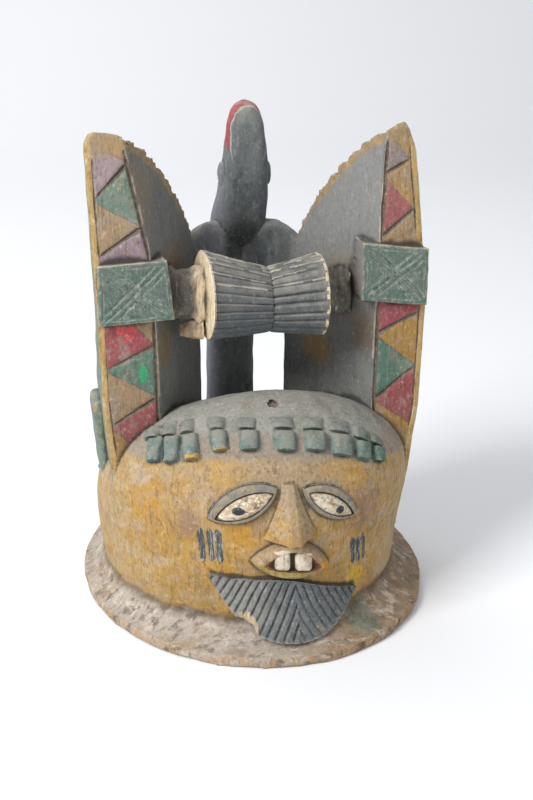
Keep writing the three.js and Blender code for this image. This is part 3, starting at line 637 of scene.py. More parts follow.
def cut_scars(context, head):
    steps = 8
    for cheek in SCARS:
        for k, x in enumerate(cheek["xs"]):
            points = []
            outwards = []
            for i in range(steps + 1):
                z = between(cheek["top"] + 2 * wander(k + x, 9, 2),
                            cheek["bottom"] + 2 * wander(k + x, 5, 2), i / steps)
                place_x = x + SCAR_LEAN * i / steps + 0.6 * wander(k + 20, z, 9)
                points.append(on_face(place_x, z, 0))
                outwards.append(head_normal(face_angle(place_x, z), z))
            cut = groove(context, points, outwards, SCAR_WIDTH, SCAR_DEPTH, "scar_paint")
            combine(context, head, [cut], "DIFFERENCE")


# Hair


def hair_block(context, middle, normal, along, size, seed, fronts=(1.0, 1.0)):
    """A boxy, knife-cut lump of hair: half sizes and lift, and the lift's share at its foot and top."""
    half, height, lift = size
    across = (along - normal * along.dot(normal)).normalized()
    tall = normal.cross(across).normalized()
    half *= 1 + 0.1 * wander(seed, 3, 1)
    height *= 1 + 0.05 * wander(seed, 9, 1)
    lean = 0.16 * wander(seed, 21, 1)
    bm = bmesh.new()
    bmesh.ops.create_cube(bm, size=2.0)
    bmesh.ops.subdivide_edges(bm, edges=bm.edges[:], cuts=8, use_grid_fill=True)
    for vert in bm.verts:
        x, y, w = vert.co
        reach = (abs(x) ** 7 + abs(y) ** 7 + abs(w) ** 7) ** (1 / 7)
        x, y, w = x / reach, y / reach, w / reach
        out = lift * (w * between(fronts[0], fronts[1], (y + 1) / 2) if w > 0 else w * 1.6)
        out -= 1.4 * x * x if w > 0.3 else 0
        narrow = 1.22 - 0.05 * (1 - y) - 0.22 * max(0.0, w)
        vert.co = middle + across * (x + lean * y) * half * narrow + tall * y * height + normal * out
    knife(bm, 7, 1.3, seed=seed)
    return as_object(context, bm, "hair", "hair_paint")


def make_hair(context):
    lumps = []
    last = len(HAIR_COLUMNS) - 1
    for i, (x, low, high, half) in enumerate(HAIR_COLUMNS):
        distance = (on_face(x, low, 0) - on_face(x, high, 0)).length
        for row, (share, lift) in enumerate(HAIR_SHARES):
            z = (low, high)[row]
            before = HAIR_COLUMNS[max(0, i - 1)]
            after = HAIR_COLUMNS[min(last, i + 1)]
            along = on_face(after[0], after[1 + row], 0) - on_face(before[0], before[1 + row], 0)
            angle = face_angle(x, z)
            fronts = (1.0, 0.45) if row else (1.0, 0.75)
            lumps.append(hair_block(context, head_point(angle, z), head_normal(angle, z), along,
                                    (half, distance * share, lift), i + 13 * row, fronts))
    for k, row in enumerate(HAIR_BACK_ROWS):
        def at(angle, row=row):
            return head_point(angle, row["z"] - row["drop"] * math.cos(angle) ** 2)

        for i in range(row["count"]):
            angle = math.radians(180 + row["span"] * (2 * (i + 0.5) / row["count"] - 1))
            along = at(angle + 0.01) - at(angle - 0.01)
            size = (row["half"], row["height"], row["lift"])
            normal = head_normal(angle, at(angle).z)
            lumps.append(hair_block(context, at(angle), normal, along, size, i + 13 * k + 50))
    return combine(context, lumps[0], lumps[1:], "UNION")


# Ears


def ear_section(ear, z):
    side = ear["side"]
    depth = read_at(EAR_DEPTH, z)
    outer = Vector((side * read_at(ear["outer"], z), EAR_STRIP_Y + 2, z))
    strip = Vector((side * read_at(ear["inner"], z), EAR_STRIP_Y, z))
    edge = Vector((side * EAR_INNER_EDGE.x, EAR_INNER_EDGE.y, z))
    edge_back = Vector((edge.x + side * 6, edge.y + read_at(EAR_EDGE_THICK, z), z))
    outer_back = Vector((outer.x - side * 2, EAR_STRIP_Y + depth, z))
    middle = outer_back.lerp(edge_back, 0.45)
    middle.y += 0.05 * depth
    return [outer, strip, edge, edge_back, middle, outer_back]


def ear_outline(ear, scallops):
    """The ear seen square to its inner face: u runs from the strip inward and back, v up."""
    tip = ear["tip"][1]
    path = [Vector(p) for p in ((tip, EAR_TOP_Z), *EAR_CURVE[1:6])]
    points = [Vector((-60, EAR_FOOT_Z - 10)), Vector((-60, EAR_TOP_Z - 60)),
              Vector((tip - 5.5, EAR_TOP_Z - 17)), Vector((tip - 3.5, EAR_TOP_Z - 6))]
    lengths = [0.0]
    for a, b in zip(path, path[1:]):
        lengths.append(lengths[-1] + (b - a).length)
    samples = scallops * 10
    for i in range(samples + 1):
        share = i / samples
        distance = share * lengths[-1]
        k = min(len(path) - 2, sum(1 for length in lengths[1:-1] if length <= distance))
        local = (distance - lengths[k]) / (lengths[k + 1] - lengths[k])
        before = path[max(0, k - 1)]
        after = path[min(len(path) - 1, k + 2)]
        point = curve_point(before, path[k], path[k + 1], after, local)
        ahead = curve_point(before, path[k], path[k + 1], after, local + 0.02) - point
        tangent = ahead.normalized()
        uneven = share + 0.02 * wander(ear["side"] + 5, i, 9)
        fade = min(1.0, (1 - share) / SCALLOP_FADE) * (1 + 0.4 * wander(ear["side"] + 8, i, 13))
        bump = SCALLOP_DEPTH * fade * (abs(math.sin(math.pi * scallops * uneven)) ** 0.8 - 0.5)
        points.append(point + Vector((-tangent.y, tangent.x)) * bump)
    points += [Vector(p) for p in (*EAR_CURVE[6:], (110, 190), (112, EAR_FOOT_Z - 10))]
    return points


def curve_point(before, start, end, after, share):
    """A point of a smooth curve through start and end."""
    square = share * share
    cube = square * share
    return 0.5 * (2 * start + (end - before) * share + (2 * before - 5 * start + 4 * end - after) * square
                  + (3 * start - before - 3 * end + after) * cube)


def prism(context, outline, half_depth, matrix, name, finish):
    """A flat outline pulled out both ways and moved by a matrix."""
    bm = bmesh.new()
    verts = [bm.verts.new((p.x, p.y, -half_depth)) for p in outline]
    face = bm.faces.new(verts)
    pulled = bmesh.ops.extrude_face_region(bm, geom=[face])
    moved = [item for item in pulled["geom"] if isinstance(item, bmesh.types.BMVert)]
    bmesh.ops.translate(bm, verts=moved, vec=(0, 0, 2 * half_depth))
    bmesh.ops.transform(bm, matrix=matrix, verts=bm.verts[:])
    bmesh.ops.recalc_face_normals(bm, faces=bm.faces[:])
    return as_object(context, bm, name, finish)


def make_ear(context, name, ear):
    side = ear["side"]
    columns, rows = 84, 92
    levels = [between(EAR_FOOT_Z, EAR_TOP_Z + 4, i / rows) for i in range(rows + 1)]
    bm = skin(columns, rows, lambda u, v: walk(ear_section(ear, levels[round(v * rows)]), u))
    for face in bm.faces:
        normal = face.normal
        if normal.y < -0.85:
            finish = f"{name}_strip_paint"
        elif normal.x * side > 0.8:
            finish = "side_paint" if face.calc_center_median().z > EAR_PAINT_Z else "ochre_paint"
        else:
            finish = "slate_paint"
        face.material_index = FINISHES.index(finish)
    soften(bm, 0.5, 1, [v for v in bm.verts if EAR_FOOT_Z + 1 < v.co.z < EAR_TOP_Z + 3])
    knife(bm, 15, 0.8, seed=7 + side, stretch=(1, 1, 1.7))
    blade = as_object(context, bm, f"{name}_ear", None)
    foot = Vector((side * 83, EAR_STRIP_Y, 0))
    along = (Vector((side * EAR_INNER_EDGE.x, EAR_INNER_EDGE.y, 0)) - foot).normalized()
    up = Vector((0, 0, 1))
    frame_matrix = Matrix((along, up, along.cross(up))).transposed().to_4x4()
    frame_matrix.translation = foot
    scallops = context.scene.mask_sizes.scallops
    outline = prism(context, ear_outline(ear, scallops), 130, frame_matrix, "outline", "edge_paint")
    low = EAR_FOOT_Z - EAR_TOP_Z - 10
    front = [Vector((side * (ear["tip"][0] + x), EAR_TOP_Z + z)) for x, z in (
        (-110, low), (60, low), *EAR_TIP, (-110, 2))]
    turn = Matrix.Rotation(math.radians(90), 4, "X")
    tip = prism(context, front, 130, turn, "tip", "edge_paint")
    combine(context, blade, [outline, tip], "INTERSECT")
    cut_strip(context, blade, ear)
    add_panel(context, blade, ear)
    combine(context, blade, [side_lock(context, ear)], "UNION")
    return blade


def cut_strip(context, blade, ear):
    """Two carved borders above and below the panel, and the slanting cuts between the triangles."""
    side = ear["side"]
    width = context.scene.mask_sizes.groove_width / MM
    depth = context.scene.mask_sizes.groove_depth / MM

    def at(x, z):
        return Vector((side * x, EAR_STRIP_Y + 0.8, z))

    def outer_x(z):
        return read_at(ear["outer"], z) - BORDER_INSET

    def inner_x(z):
        return read_at(ear["inner"], z) + 2

    front = Vector((0, -1, 0))
    cutters = []
    for k, (z_outer, z_inner) in enumerate(ear["cuts"]):
        start = at(outer_x(z_outer), z_outer)
        end = at(inner_x(z_inner), z_inner)
        cutters.append(straight_groove(context, start, end, front, width * 1.25, depth * 1.3, "groove_dirt_and_shade",
                                       k + 30 * side))
    panel = ear["panel"]
    for bottom, top in ((136, panel["low"] + 1), (panel["high"] - 1, 377)):
        for k, edge in enumerate((outer_x, inner_x)):
            steps = 22
            points = []
            for i in range(steps + 1):
                z = between(bottom, top, i / steps)
                points.append(at(edge(z) + 0.5 * wander(k + bottom, z, 17), z))
            cutters.append(groove(context, points, [front] * len(points), width, depth, "groove_dirt_and_shade"))
    combine(context, blade, cutters, "DIFFERENCE")


def add_panel(context, blade, ear):
    """A raised square block across the strip, cut with two crossing bands of strokes."""
    side = ear["side"]
    panel = ear["panel"]
    y = EAR_STRIP_Y - PANEL_LIFT
    width = context.scene.mask_sizes.groove_width / MM
    depth = context.scene.mask_sizes.groove_depth / MM

    def at(share, rise, place_y):
        x = between(between(panel["inner"], panel["inner_top"], rise), panel["outer"], share)
        return Vector((side * x, place_y, between(panel["low"], panel["high"], rise)
                       + panel["slope"] * (x - panel["inner"])))

    layers = [(0.03, EAR_STRIP_Y + 24), (0.015, y + 5), (0.0, y + 1.6), (0.012, y + 0.5), (0.04, y),
              (0.2, y), (0.46, y - 0.2)]
    last = len(layers) - 1

    def place(u, v):
        inset, place_y = layers[round(v * last)]
        far = 1 - inset
        corners = [at(a, b, place_y) for a, b in ((inset, inset), (far, inset), (far, far), (inset, far))]
        return walk(corners, u)

    bm = skin(96, last, place)
    for face in bm.faces:
        # Faces that look down take the dark groove finish as painted shade under the panel
        normal = face.normal
        if normal.z > 0.75:
            finish = "rubbed_ridge"
        elif normal.z < -0.75:
            finish = "groove_dirt_and_shade"
        elif normal.x * side < -0.75:
            finish = "slate_paint"
        else:
            finish = "panel_paint"
        face.material_index = FINISHES.index(finish)
    knife(bm, 11, 0.5, seed=11 + side)
    piece = as_object(context, bm, "panel", None)
    front = Vector((0, -1, 0))
    cutters = []
    for k, shift in enumerate((-0.14, -0.02, 0.11)):
        cut = max(0.0, shift)
        rest = max(0.0, -shift)
        lines = [(at(0.07 + cut, 0.07 + rest, y), at(0.93 - rest, 0.93 - cut, y)),
                 (at(0.07 + cut, 0.93 - rest, y), at(0.93 - rest, 0.07 + cut, y))]
        for j, (start, end) in enumerate(lines):
            bite = depth * (0.8 + 0.06 * k + 0.1 * j)
            cutters.append(straight_groove(context, start, end, front, width * 1.35, bite, "panel_cut",
                                           k + 9 * j + side))
    frame_lines = ((0.07, 0.08, 0.93, 0.08), (0.08, 0.92, 0.92, 0.92), (0.07, 0.09, 0.07, 0.91),
                   (0.93, 0.09, 0.93, 0.91))
    for k, (a, b, c, d) in enumerate(frame_lines):
        cutters.append(straight_groove(context, at(a, b, y), at(c, d, y), front, width * 0.45, depth * 0.4,
                                       "panel_cut", k + 40 + side))
    combine(context, piece, cutters, "DIFFERENCE")
    combine(context, blade, [piece], "UNION")


def side_lock(context, ear):
    """A raised block of hair on the outer side of the ear, eased at its top and faded out below."""
    side = ear["side"]
    lock = SIDE_LOCK
    levels = [(lock["bottom"], -2), (100, 3), (120, lock["lift"]), (145, lock["lift"]),
              (lock["top"] - 5, lock["lift"]), (lock["top"] - 1.5, lock["lift"] - 1.2),
              (lock["top"], lock["lift"] - 4)]
    heights = [between(lock["bottom"], lock["top"], (i / 26) ** 0.85) for i in range(27)]

    def place(u, v):
        z = heights[round(v * 26)]
        out = read_at(levels, z)
        base = read_at(ear["outer"], z)
        corners = [Vector((side * (base - 14), lock["front"], z)),
                   Vector((side * (base - 14), lock["back"], z)),
                   Vector((side * (base + out), lock["back"] - 4, z)),
                   Vector((side * (base + out), lock["front"] + 4, z))]
        return walk(corners, u)

    bm = skin(44, 26, place)
    soften(bm, 0.5, 2)
    knife(bm, 12, 0.7, seed=17 + side)
    return as_object(context, bm, "lock", "side_paint")


# Drum


def make_drum(context):
    """Two fluted cones meeting at a waist, with the torn stubs that tie the drum to the ears."""
    sizes = context.scene.mask_sizes
    left, right, waist = DRUM["left"], DRUM["right"], DRUM["waist"]
    stations = [left, left + 0.8, left + 2.2]
    stations += [between(left + 2.2, waist - 1.2, i / 12) for i in range(1, 13)]
    stations += [waist - 0.5, waist, waist + 0.5]
    stations += [between(waist + 1.2, right - 2.4, i / 11) for i in range(12)]
    stations += [right - 1.0, right - 0.2, right]
    inset = {0: 2.0, 1: 0.7, len(stations) - 1: 1.6, len(stations) - 2: 0.5}
    last = len(stations) - 1

    def flute_at(share, x):
        """The flute that a share of the way round falls in, and how far it lies from its line, 0 to 0.5."""
        half = 0 if x < waist else 1
        flutes = (sizes.left_flutes, sizes.right_flutes)[half]
        angle = 2 * math.pi * share
        warp = 0.32 * noise.noise(Vector((3.5 * math.cos(angle), 3.5 * math.sin(angle), half * 5 + x / 70)))
        phase = flutes * share + warp + 0.37 * half
        return round(phase) % flutes, abs((phase + 0.5) % 1 - 0.5)

    def upper_share(angle):
        """1 where the flutes end in raised lines, on the drum's upper side, and 0 where they are cut."""
        return clamp((math.sin(angle) + 0.25 * math.cos(angle) - 0.1) / 0.35)

    def place(u, v):
        k = round(v * last)
        x = stations[k]
        angle = 2 * math.pi * (u % 1)
        half = 0 if x < waist else 1
        flute, distance = flute_at(u % 1, x)
        depth = 1.5 + 1.1 * half + 0.9 * noise.noise(Vector((flute * 2.3, half * 3, x / 40)))
        groove_share = depth * max(0.0, 1 - distance * (6.3 - 2.1 * half)) ** 0.8
        ridge_share = 1.4 * max(0.0, 1 - distance * 9) - 0.6 * max(0.0, 1 - abs(distance - 0.2) * 9)
        relief = between(-groove_share, ridge_share, upper_share(angle))
        ends = clamp((x - left) / 5) * clamp((right - x) / 4)
        neck = 0.9 * max(0.0, 1 - abs(x - waist) / 1.6)
        lump = 0.7 * noise.noise(Vector((x / 30, 3 * math.cos(angle), 3 * math.sin(angle))))
        radius = read_at(DRUM_RADIUS, x) - inset.get(k, 0.0) + lump + relief * ends - neck
        shift = 0
        if x > right - 3:
            shift = 1.3 * noise.noise(Vector((math.cos(angle) * 2, math.sin(angle) * 2, 8)))
        if x < left + 3:
            shift = DRUM_END["shift"] - DRUM_END["slant"] * math.cos(angle)
        return Vector((x + shift, DRUM["y"] + radius * math.cos(angle),
                       read_at(DRUM_AXIS_Z, x) + radius * math.sin(angle)))

    bm = skin(DRUM_COLUMNS, last, place)
    for face in bm.faces:
        middle = face.calc_center_median()
        bare = face.normal.x < -0.6 and middle.x < left + 6
        rough = noise.noise(middle / 4) + 0.4 * noise.noise(middle / 1.6)
        chipped = middle.x > right - 2.4 and rough > -0.1
        angle = math.atan2(middle.z - read_at(DRUM_AXIS_Z, middle.x), middle.y - DRUM["y"])
        distance = flute_at(angle / (2 * math.pi) % 1, middle.x)[1]
        line = distance < DRUM_LINE["half"] and upper_share(angle) > DRUM_LINE["upper"]
        finish = "rubbed_ridge" if line and noise.noise(middle / 9) > DRUM_LINE["gaps"] else "slate_paint"
        face.material_index = FINISHES.index("fresh_cut_wood" if bare or chipped else finish)
    drum = as_object(context, bm, "drum", None)
    stubs = [stub(context, stations, k, finish) for k, (finish, stations) in enumerate(DRUM_STUBS)]
    return combine(context, drum, stubs, "UNION")


def stub(context, stations, seed, finish):
    """Torn wood between two solids, ragged with fibres that run up and down."""
    rows = 22
    heights = [s[0] for s in stations]
    pairs = [sorted((s[0], s[k]) for s in stations) for k in (1, 2, 3)]

    def place(u, v):
        x = between(heights[0], heights[-1], v)
        y, z, radius = (read_at(pair, x) for pair in pairs)
        angle = 2 * math.pi * (u % 1)
        fibres = 0.13 * noise.noise(Vector((x / 5, seed * 9, 4 * math.cos(angle))))
        ragged = fibres + 0.1 * math.cos(3 * angle + seed)
        radius *= 1 + ragged
        return Vector((x, y + radius * math.cos(angle), z + radius * math.sin(angle)))

    bm = skin(48, rows, place)
    knife(bm, 5, 0.6, seed=19 + seed, stretch=(1, 1, 3))
    return as_object(context, bm, "stub", finish)


# Post, bird and wings


def make_bird(context):
    rows = 100
    pairs = [[(s[0], s[k]) for s in BIRD_STATIONS] for k in (1, 2, 3, 4)]
    low, high = BIRD_STATIONS[0][0], BIRD_STATIONS[-1][0]
    levels = [between(low, high, math.sin(math.radians(90 * i / rows)) if i > rows * 0.6
                      else math.sin(math.radians(54)) * i / (rows * 0.6)) for i in range(rows + 1)]

    def place(u, v):
        z = levels[round(v * rows)]
        x, y, half_width, half_depth = (read_at(pair, z) for pair in pairs)
        angle = 2 * math.pi * (u % 1)
        flat = 1 - 0.12 * max(0.0, -math.sin(angle)) ** 2
        power = between(BIRD_SQUARENESS, 2.2, clamp((z - 380) / 15))
        square = (abs(math.cos(angle)) ** power + abs(math.sin(angle)) ** power) ** (-1 / power)
        return Vector((x + half_width * square * math.cos(angle) * 0.97,
                       y + half_depth * square * math.sin(angle) * flat * 0.97, z))

    bm = skin(72, rows, place)
    soften(bm, 0.5, 3, [v for v in bm.verts if v.co.z > low + 1])
    knife(bm, 13, 0.8, seed=23, stretch=(1, 1, 2))
    bird = as_object(context, bm, "bird", "slate_paint")
    parts = []
    for side in (-1, 1):
        jaw = bmesh.new()
        bmesh.ops.create_icosphere(jaw, subdivisions=3, radius=1.0)
        for vert in jaw.verts:
            flap = vert.co.copy()
            flap.x = math.copysign(abs(flap.x) ** 0.7, flap.x)
            vert.co = Vector((JAW["x"] + side * (JAW["away"] + JAW["half_wide"] * flap.x),
                              JAW["y"] + JAW["half_deep"] * flap.y, JAW["z"] + JAW["half_tall"] * flap.z))
        if side < 0:
            bmesh.ops.reverse_faces(jaw, faces=jaw.faces[:])
        knife(jaw, 6, 0.5, seed=29 + side)
        parts.append(as_object(context, jaw, "jaw", "slate_paint"))
        parts.append(make_wing(context, side))
    return combine(context, bird, parts, "UNION")


def make_wing(context, side):
    """A wing from the bird's breast to the ear, its flat front leaning back to a rounded top."""
    rows = 30
    last = len(WING_STATIONS) - 1

    def place(u, v):
        k = min(last - 1, int(v * last))
        x, low, high, bottom, top = (between(a, b, v * last - k)
                                     for a, b in zip(WING_STATIONS[k], WING_STATIONS[k + 1]))
        corners = [Vector((side * (x + WING_LEAN * rise), between(low, high, rise) + back * WING_THICK,
                           between(bottom, top, rise))) for back, rise in WING_SECTION]
        return walk(corners, u)

    bm = skin(60, rows, place)
    soften(bm, 0.5, 2)
    knife(bm, 14, 0.9, seed=31 + side)
    return as_object(context, bm, "wing", "slate_paint")


# Wear and painted zones as attributes of the finished mesh


WEAR_GAIN = 3.2
WEAR_ROUNDS = 2


def mark_wear(mesh):
    """Writes wear, high on ridges, and dirt, high in hollows, from how far each point stands out."""
    count = len(mesh.vertices)
    points = np.empty(count * 3)
    normals = np.empty(count * 3)
    mesh.vertices.foreach_get("co", points)
    mesh.vertex_normals.foreach_get("vector", normals)
    points = points.reshape(-1, 3) / MM
    normals = normals.reshape(-1, 3)
    ends = np.empty(len(mesh.edges) * 2, dtype=int)
    mesh.edges.foreach_get("vertices", ends)
    a, b = ends.reshape(-1, 2).T
    span = points[b] - points[a]
    length = np.maximum(np.linalg.norm(span, axis=1), 0.2)
    drop = np.zeros(count)
    weight = np.zeros(count)
    np.add.at(drop, a, -np.einsum("ij,ij->i", span, normals[a]) / length)
    np.add.at(drop, b, np.einsum("ij,ij->i", span, normals[b]) / length)
    np.add.at(weight, a, 1.0)
    np.add.at(weight, b, 1.0)
    bend = drop / np.maximum(weight, 1)
    for _ in range(WEAR_ROUNDS):
        total = np.zeros(count)
        np.add.at(total, a, bend[b])
        np.add.at(total, b, bend[a])
        bend = 0.5 * bend + 0.5 * total / np.maximum(weight, 1)
    for name, sign in (("wear", 1), ("dirt", -1)):
        values = np.clip(sign * bend * WEAR_GAIN, 0, 1)
        layer = mesh.attributes.new(name, "FLOAT", "POINT")
        layer.data.foreach_set("value", values.astype(np.float32))


def mark_strips(mesh):
    """Writes how far across its ear's strip each point lies: 0 at the inner border, 1 at the outer."""
    layer = mesh.attributes.new("across", "FLOAT", "POINT")
    values = np.zeros(len(mesh.vertices), dtype=np.float32)
    for i, vert in enumerate(mesh.vertices):
        place = vert.co / MM + RIM_MIDDLE
        ear = EARS["left" if place.x < 0 else "right"]
        outer = read_at(ear["outer"], place.z) - BORDER_INSET
        inner = read_at(ear["inner"], place.z) + 2
        values[i] = (abs(place.x) - inner) / max(outer - inner, 1.0)
    layer.data.foreach_set("value", values)


def mark_edges(mesh):
    """Writes how near each point lies to its ear's curved edge: 1 on it, 0 from EDGE_REACH mm inward."""
    points = np.empty(len(mesh.vertices) * 3)
    mesh.vertices.foreach_get("co", points)
    points = points.reshape(-1, 3) / MM + np.array(RIM_MIDDLE)
    side = np.where(points[:, 0] < 0, -1.0, 1.0)
    along = Vector((EAR_INNER_EDGE.x - 83, EAR_INNER_EDGE.y - EAR_STRIP_Y)).normalized()
    inward = (points[:, 0] * side - 83) * along.x + (points[:, 1] - EAR_STRIP_Y) * along.y
    flat = np.stack([inward, points[:, 2]], axis=1)
    nearest = np.full(len(flat), 1e3)
    for start, end in zip(EAR_CURVE, EAR_CURVE[1:]):
        start, end = np.array(start), np.array(end)
        share = np.clip((flat - start) @ (end - start) / ((end - start) @ (end - start)), 0, 1)
        nearest = np.minimum(nearest, np.linalg.norm(flat - start - share[:, None] * (end - start), axis=1))
    values = np.where(np.abs(points[:, 0]) > 34, np.clip(1 - nearest / EDGE_REACH, 0, 1), 0)
    layer = mesh.attributes.new("edge", "FLOAT", "POINT")
    layer.data.foreach_set("value", values.astype(np.float32))


# Finishes. All paints are distemper, pigment and glue brushed on carved hardwood, so they are matt, IOR 1.5.


# Settings of nodes that recur. EASED runs from 0 at its first limit to 1 at its second, either way round.
TIMES = {"operation": "MULTIPLY"}
PLUS = {"operation": "ADD"}
MINUS = {"operation": "SUBTRACT"}
TIMES_PLUS = {"operation": "MULTIPLY_ADD"}
UNSIGNED = {"operation": "ABSOLUTE"}
LARGER = {"operation": "MAXIMUM"}
EASED = {"interpolation_type": "SMOOTHSTEP"}
PAINT_IOR = 1.5


def add(tree, kind, settings=None, inputs=(), output=0):
    """Adds a node with its settings and its inputs, by name or in order, and gives one of its outputs."""
    node = tree.nodes.new("ShaderNode" + kind)
    for name, value in (settings or {}).items():
        setattr(node, name, value)
    for name, value in inputs.items() if isinstance(inputs, dict) else enumerate(inputs):
        if isinstance(value, bpy.types.NodeSocket):
            tree.links.new(value, node.inputs[name])
        else:
            node.inputs[name].default_value = value
    return node.outputs[output] if node.outputs else None


def start_paint(name):
    """A cleared material, and the place on the mask in mm round the middle of the face."""
    tree = bpy.data.materials[name].node_tree
    tree.nodes.clear()
    metres = add(tree, "TexCoord", output=3)
    return tree, add(tree, "VectorMath", TIMES_PLUS, (metres, (1 / MM,) * 3, RIM_MIDDLE))


def cloud(tree, place, size, seed, stretch=(1, 1, 1), detail=4.0, rough=0.55):
    """Soft noise round 0.5, with patches of about size mm."""
    shift = (seed * 3.7, seed * 1.9, seed * 5.3)
    scale = [1 / (size * s) for s in stretch]
    moved = add(tree, "Mapping", None, {"Vector": place, "Location": shift, "Scale": scale})
    return add(tree, "TexNoise", None, {"Vector": moved, "Scale": 1.0, "Detail": detail, "Roughness": rough})


def coat(tree, under, colour, mask, share=1.0):
    """One coat over another where the mask is 1, as thick as its share."""
    thick = add(tree, "Math", TIMES, (mask, share))
    return add(tree, "Mix", {"data_type": "RGBA"}, {0: thick, 6: under, 7: colour}, output=2)


def coats(tree, place, colour, layers):
    """Broken coats over a colour: each has a colour, patch size in mm, stretch, two limits and a share."""
    for k, (code, size, stretch, low, high, share) in enumerate(layers):
        patches = cloud(tree, place, size, 60 + 7 * k + size, stretch=stretch, detail=6.0, rough=0.68)
        colour = coat(tree, colour, linear(code), add(tree, "MapRange", EASED, (patches, low, high)), share)
    return colour


def spot(tree, place, middle, radius, seed, scale=(1, 1, 1), ragged=0.25, soft=0.25):
    """A ragged patch round a point, 1 inside."""
    offset = add(tree, "VectorMath", MINUS, (place, middle))
    scaled = add(tree, "VectorMath", TIMES, (offset, [s / radius for s in scale]))
    distance = add(tree, "VectorMath", {"operation": "LENGTH"}, (scaled,), output=1)
    patchy = cloud(tree, place, max(1.5, radius * 0.45), seed, detail=6.0, rough=0.7)
    uneven = add(tree, "Math", TIMES_PLUS, (patchy, 2 * ragged, -ragged))
    distance = add(tree, "Math", PLUS, (distance, uneven))
    return add(tree, "MapRange", EASED, (distance, 1 + soft / 2, 1 - soft / 2))


def spots(tree, place, colour, rows):
    """Patches of colour: each has its colour, middle, radius, share, raggedness and softness."""
    for k, (code, middle, radius, share, ragged, soft) in enumerate(rows):
        mask = spot(tree, place, middle, radius, 20 + 3 * k + radius, ragged=ragged, soft=soft)
        colour = coat(tree, colour, linear(code), mask, share)
    return colour


def finish_wood(tree, place, colour, worn, wear_from=0.32, dust=0.35, dust_colour="#A8A297", roughness=0.82,
                grain=0.55, gloss=None, grit=1.0):
    """Wear on ridges, dirt in hollows, grit, fibres that run up the block, and dust on what faces up."""
    wear = add(tree, "Attribute", {"attribute_name": "wear"}, output=2)
    dirt = add(tree, "Attribute", {"attribute_name": "dirt"}, output=2)
    patchy = add(tree, "Math", TIMES_PLUS, (cloud(tree, place, 6, 3, detail=7, rough=0.7), 1.1, -0.55))
    patchy = add(tree, "Math", PLUS, (wear, patchy))
    rubbed = add(tree, "MapRange", EASED, (patchy, wear_from, wear_from + 0.18))
    colour = coat(tree, colour, worn, rubbed, 0.85)
    speck = cloud(tree, place, 2.6, 5, stretch=(1, 1, 1.5), detail=6, rough=0.78)
    dark_grit = add(tree, "MapRange", EASED, (speck, 0.47, 0.3))
    colour = coat(tree, colour, linear("#2A241E"), dark_grit, 0.62 * grit)
    pale_grit = add(tree, "MapRange", EASED, (speck, 0.53, 0.72))
    colour = coat(tree, colour, linear("#D8CDBA"), pale_grit, 0.42 * grit)
    fibre = cloud(tree, place, 1.5, 7, stretch=(1, 1, 12), detail=4, rough=0.65)
    raised = add(tree, "MapRange", EASED, (fibre, 0.53, 0.7))
    colour = coat(tree, colour, linear("#332A22"), raised, 0.45 * grit)
    colour = coat(tree, colour, linear("#25201B"), add(tree, "MapRange", EASED, (dirt, 0.08, 0.5)), 0.82)
    facing = add(tree, "SeparateXYZ", None, (add(tree, "NewGeometry", output=1),), output=2)
    drifts = add(tree, "MapRange", EASED, (cloud(tree, place, 12, 9, detail=6), 0.32, 0.62))
    settled = add(tree, "Math", TIMES, (add(tree, "MapRange", EASED, (facing, 0.1, 0.9)), drifts))
    colour = coat(tree, colour, linear(dust_colour), settled, dust)
    coarse = cloud(tree, place, 5, 13, stretch=(1, 1, 2.2), detail=5, rough=0.6)
    relief = add(tree, "Math", TIMES_PLUS, (speck, 0.8, coarse))
    relief = add(tree, "Math", TIMES_PLUS, (fibre, 0.7, relief))
    normal = add(tree, "Bump", None, {"Strength": grain, "Distance": 0.9 * MM, "Height": relief})
    rough = add(tree, "MapRange", EASED, (coarse, 0.2, 0.8))
    rough = add(tree, "MapRange", None, {"Value": rough, "To Min": roughness - 0.1,
                                         "To Max": roughness + 0.1})
    if gloss is not None:
        rough = add(tree, "Mix", {"data_type": "FLOAT"}, {0: gloss, 2: rough, 3: 0.28})
    shader = add(tree, "BsdfPrincipled", None, {"Base Color": colour, "Roughness": rough, "IOR": PAINT_IOR,
                                                "Normal": normal})
    add(tree, "OutputMaterial", None, {"Surface": shader})


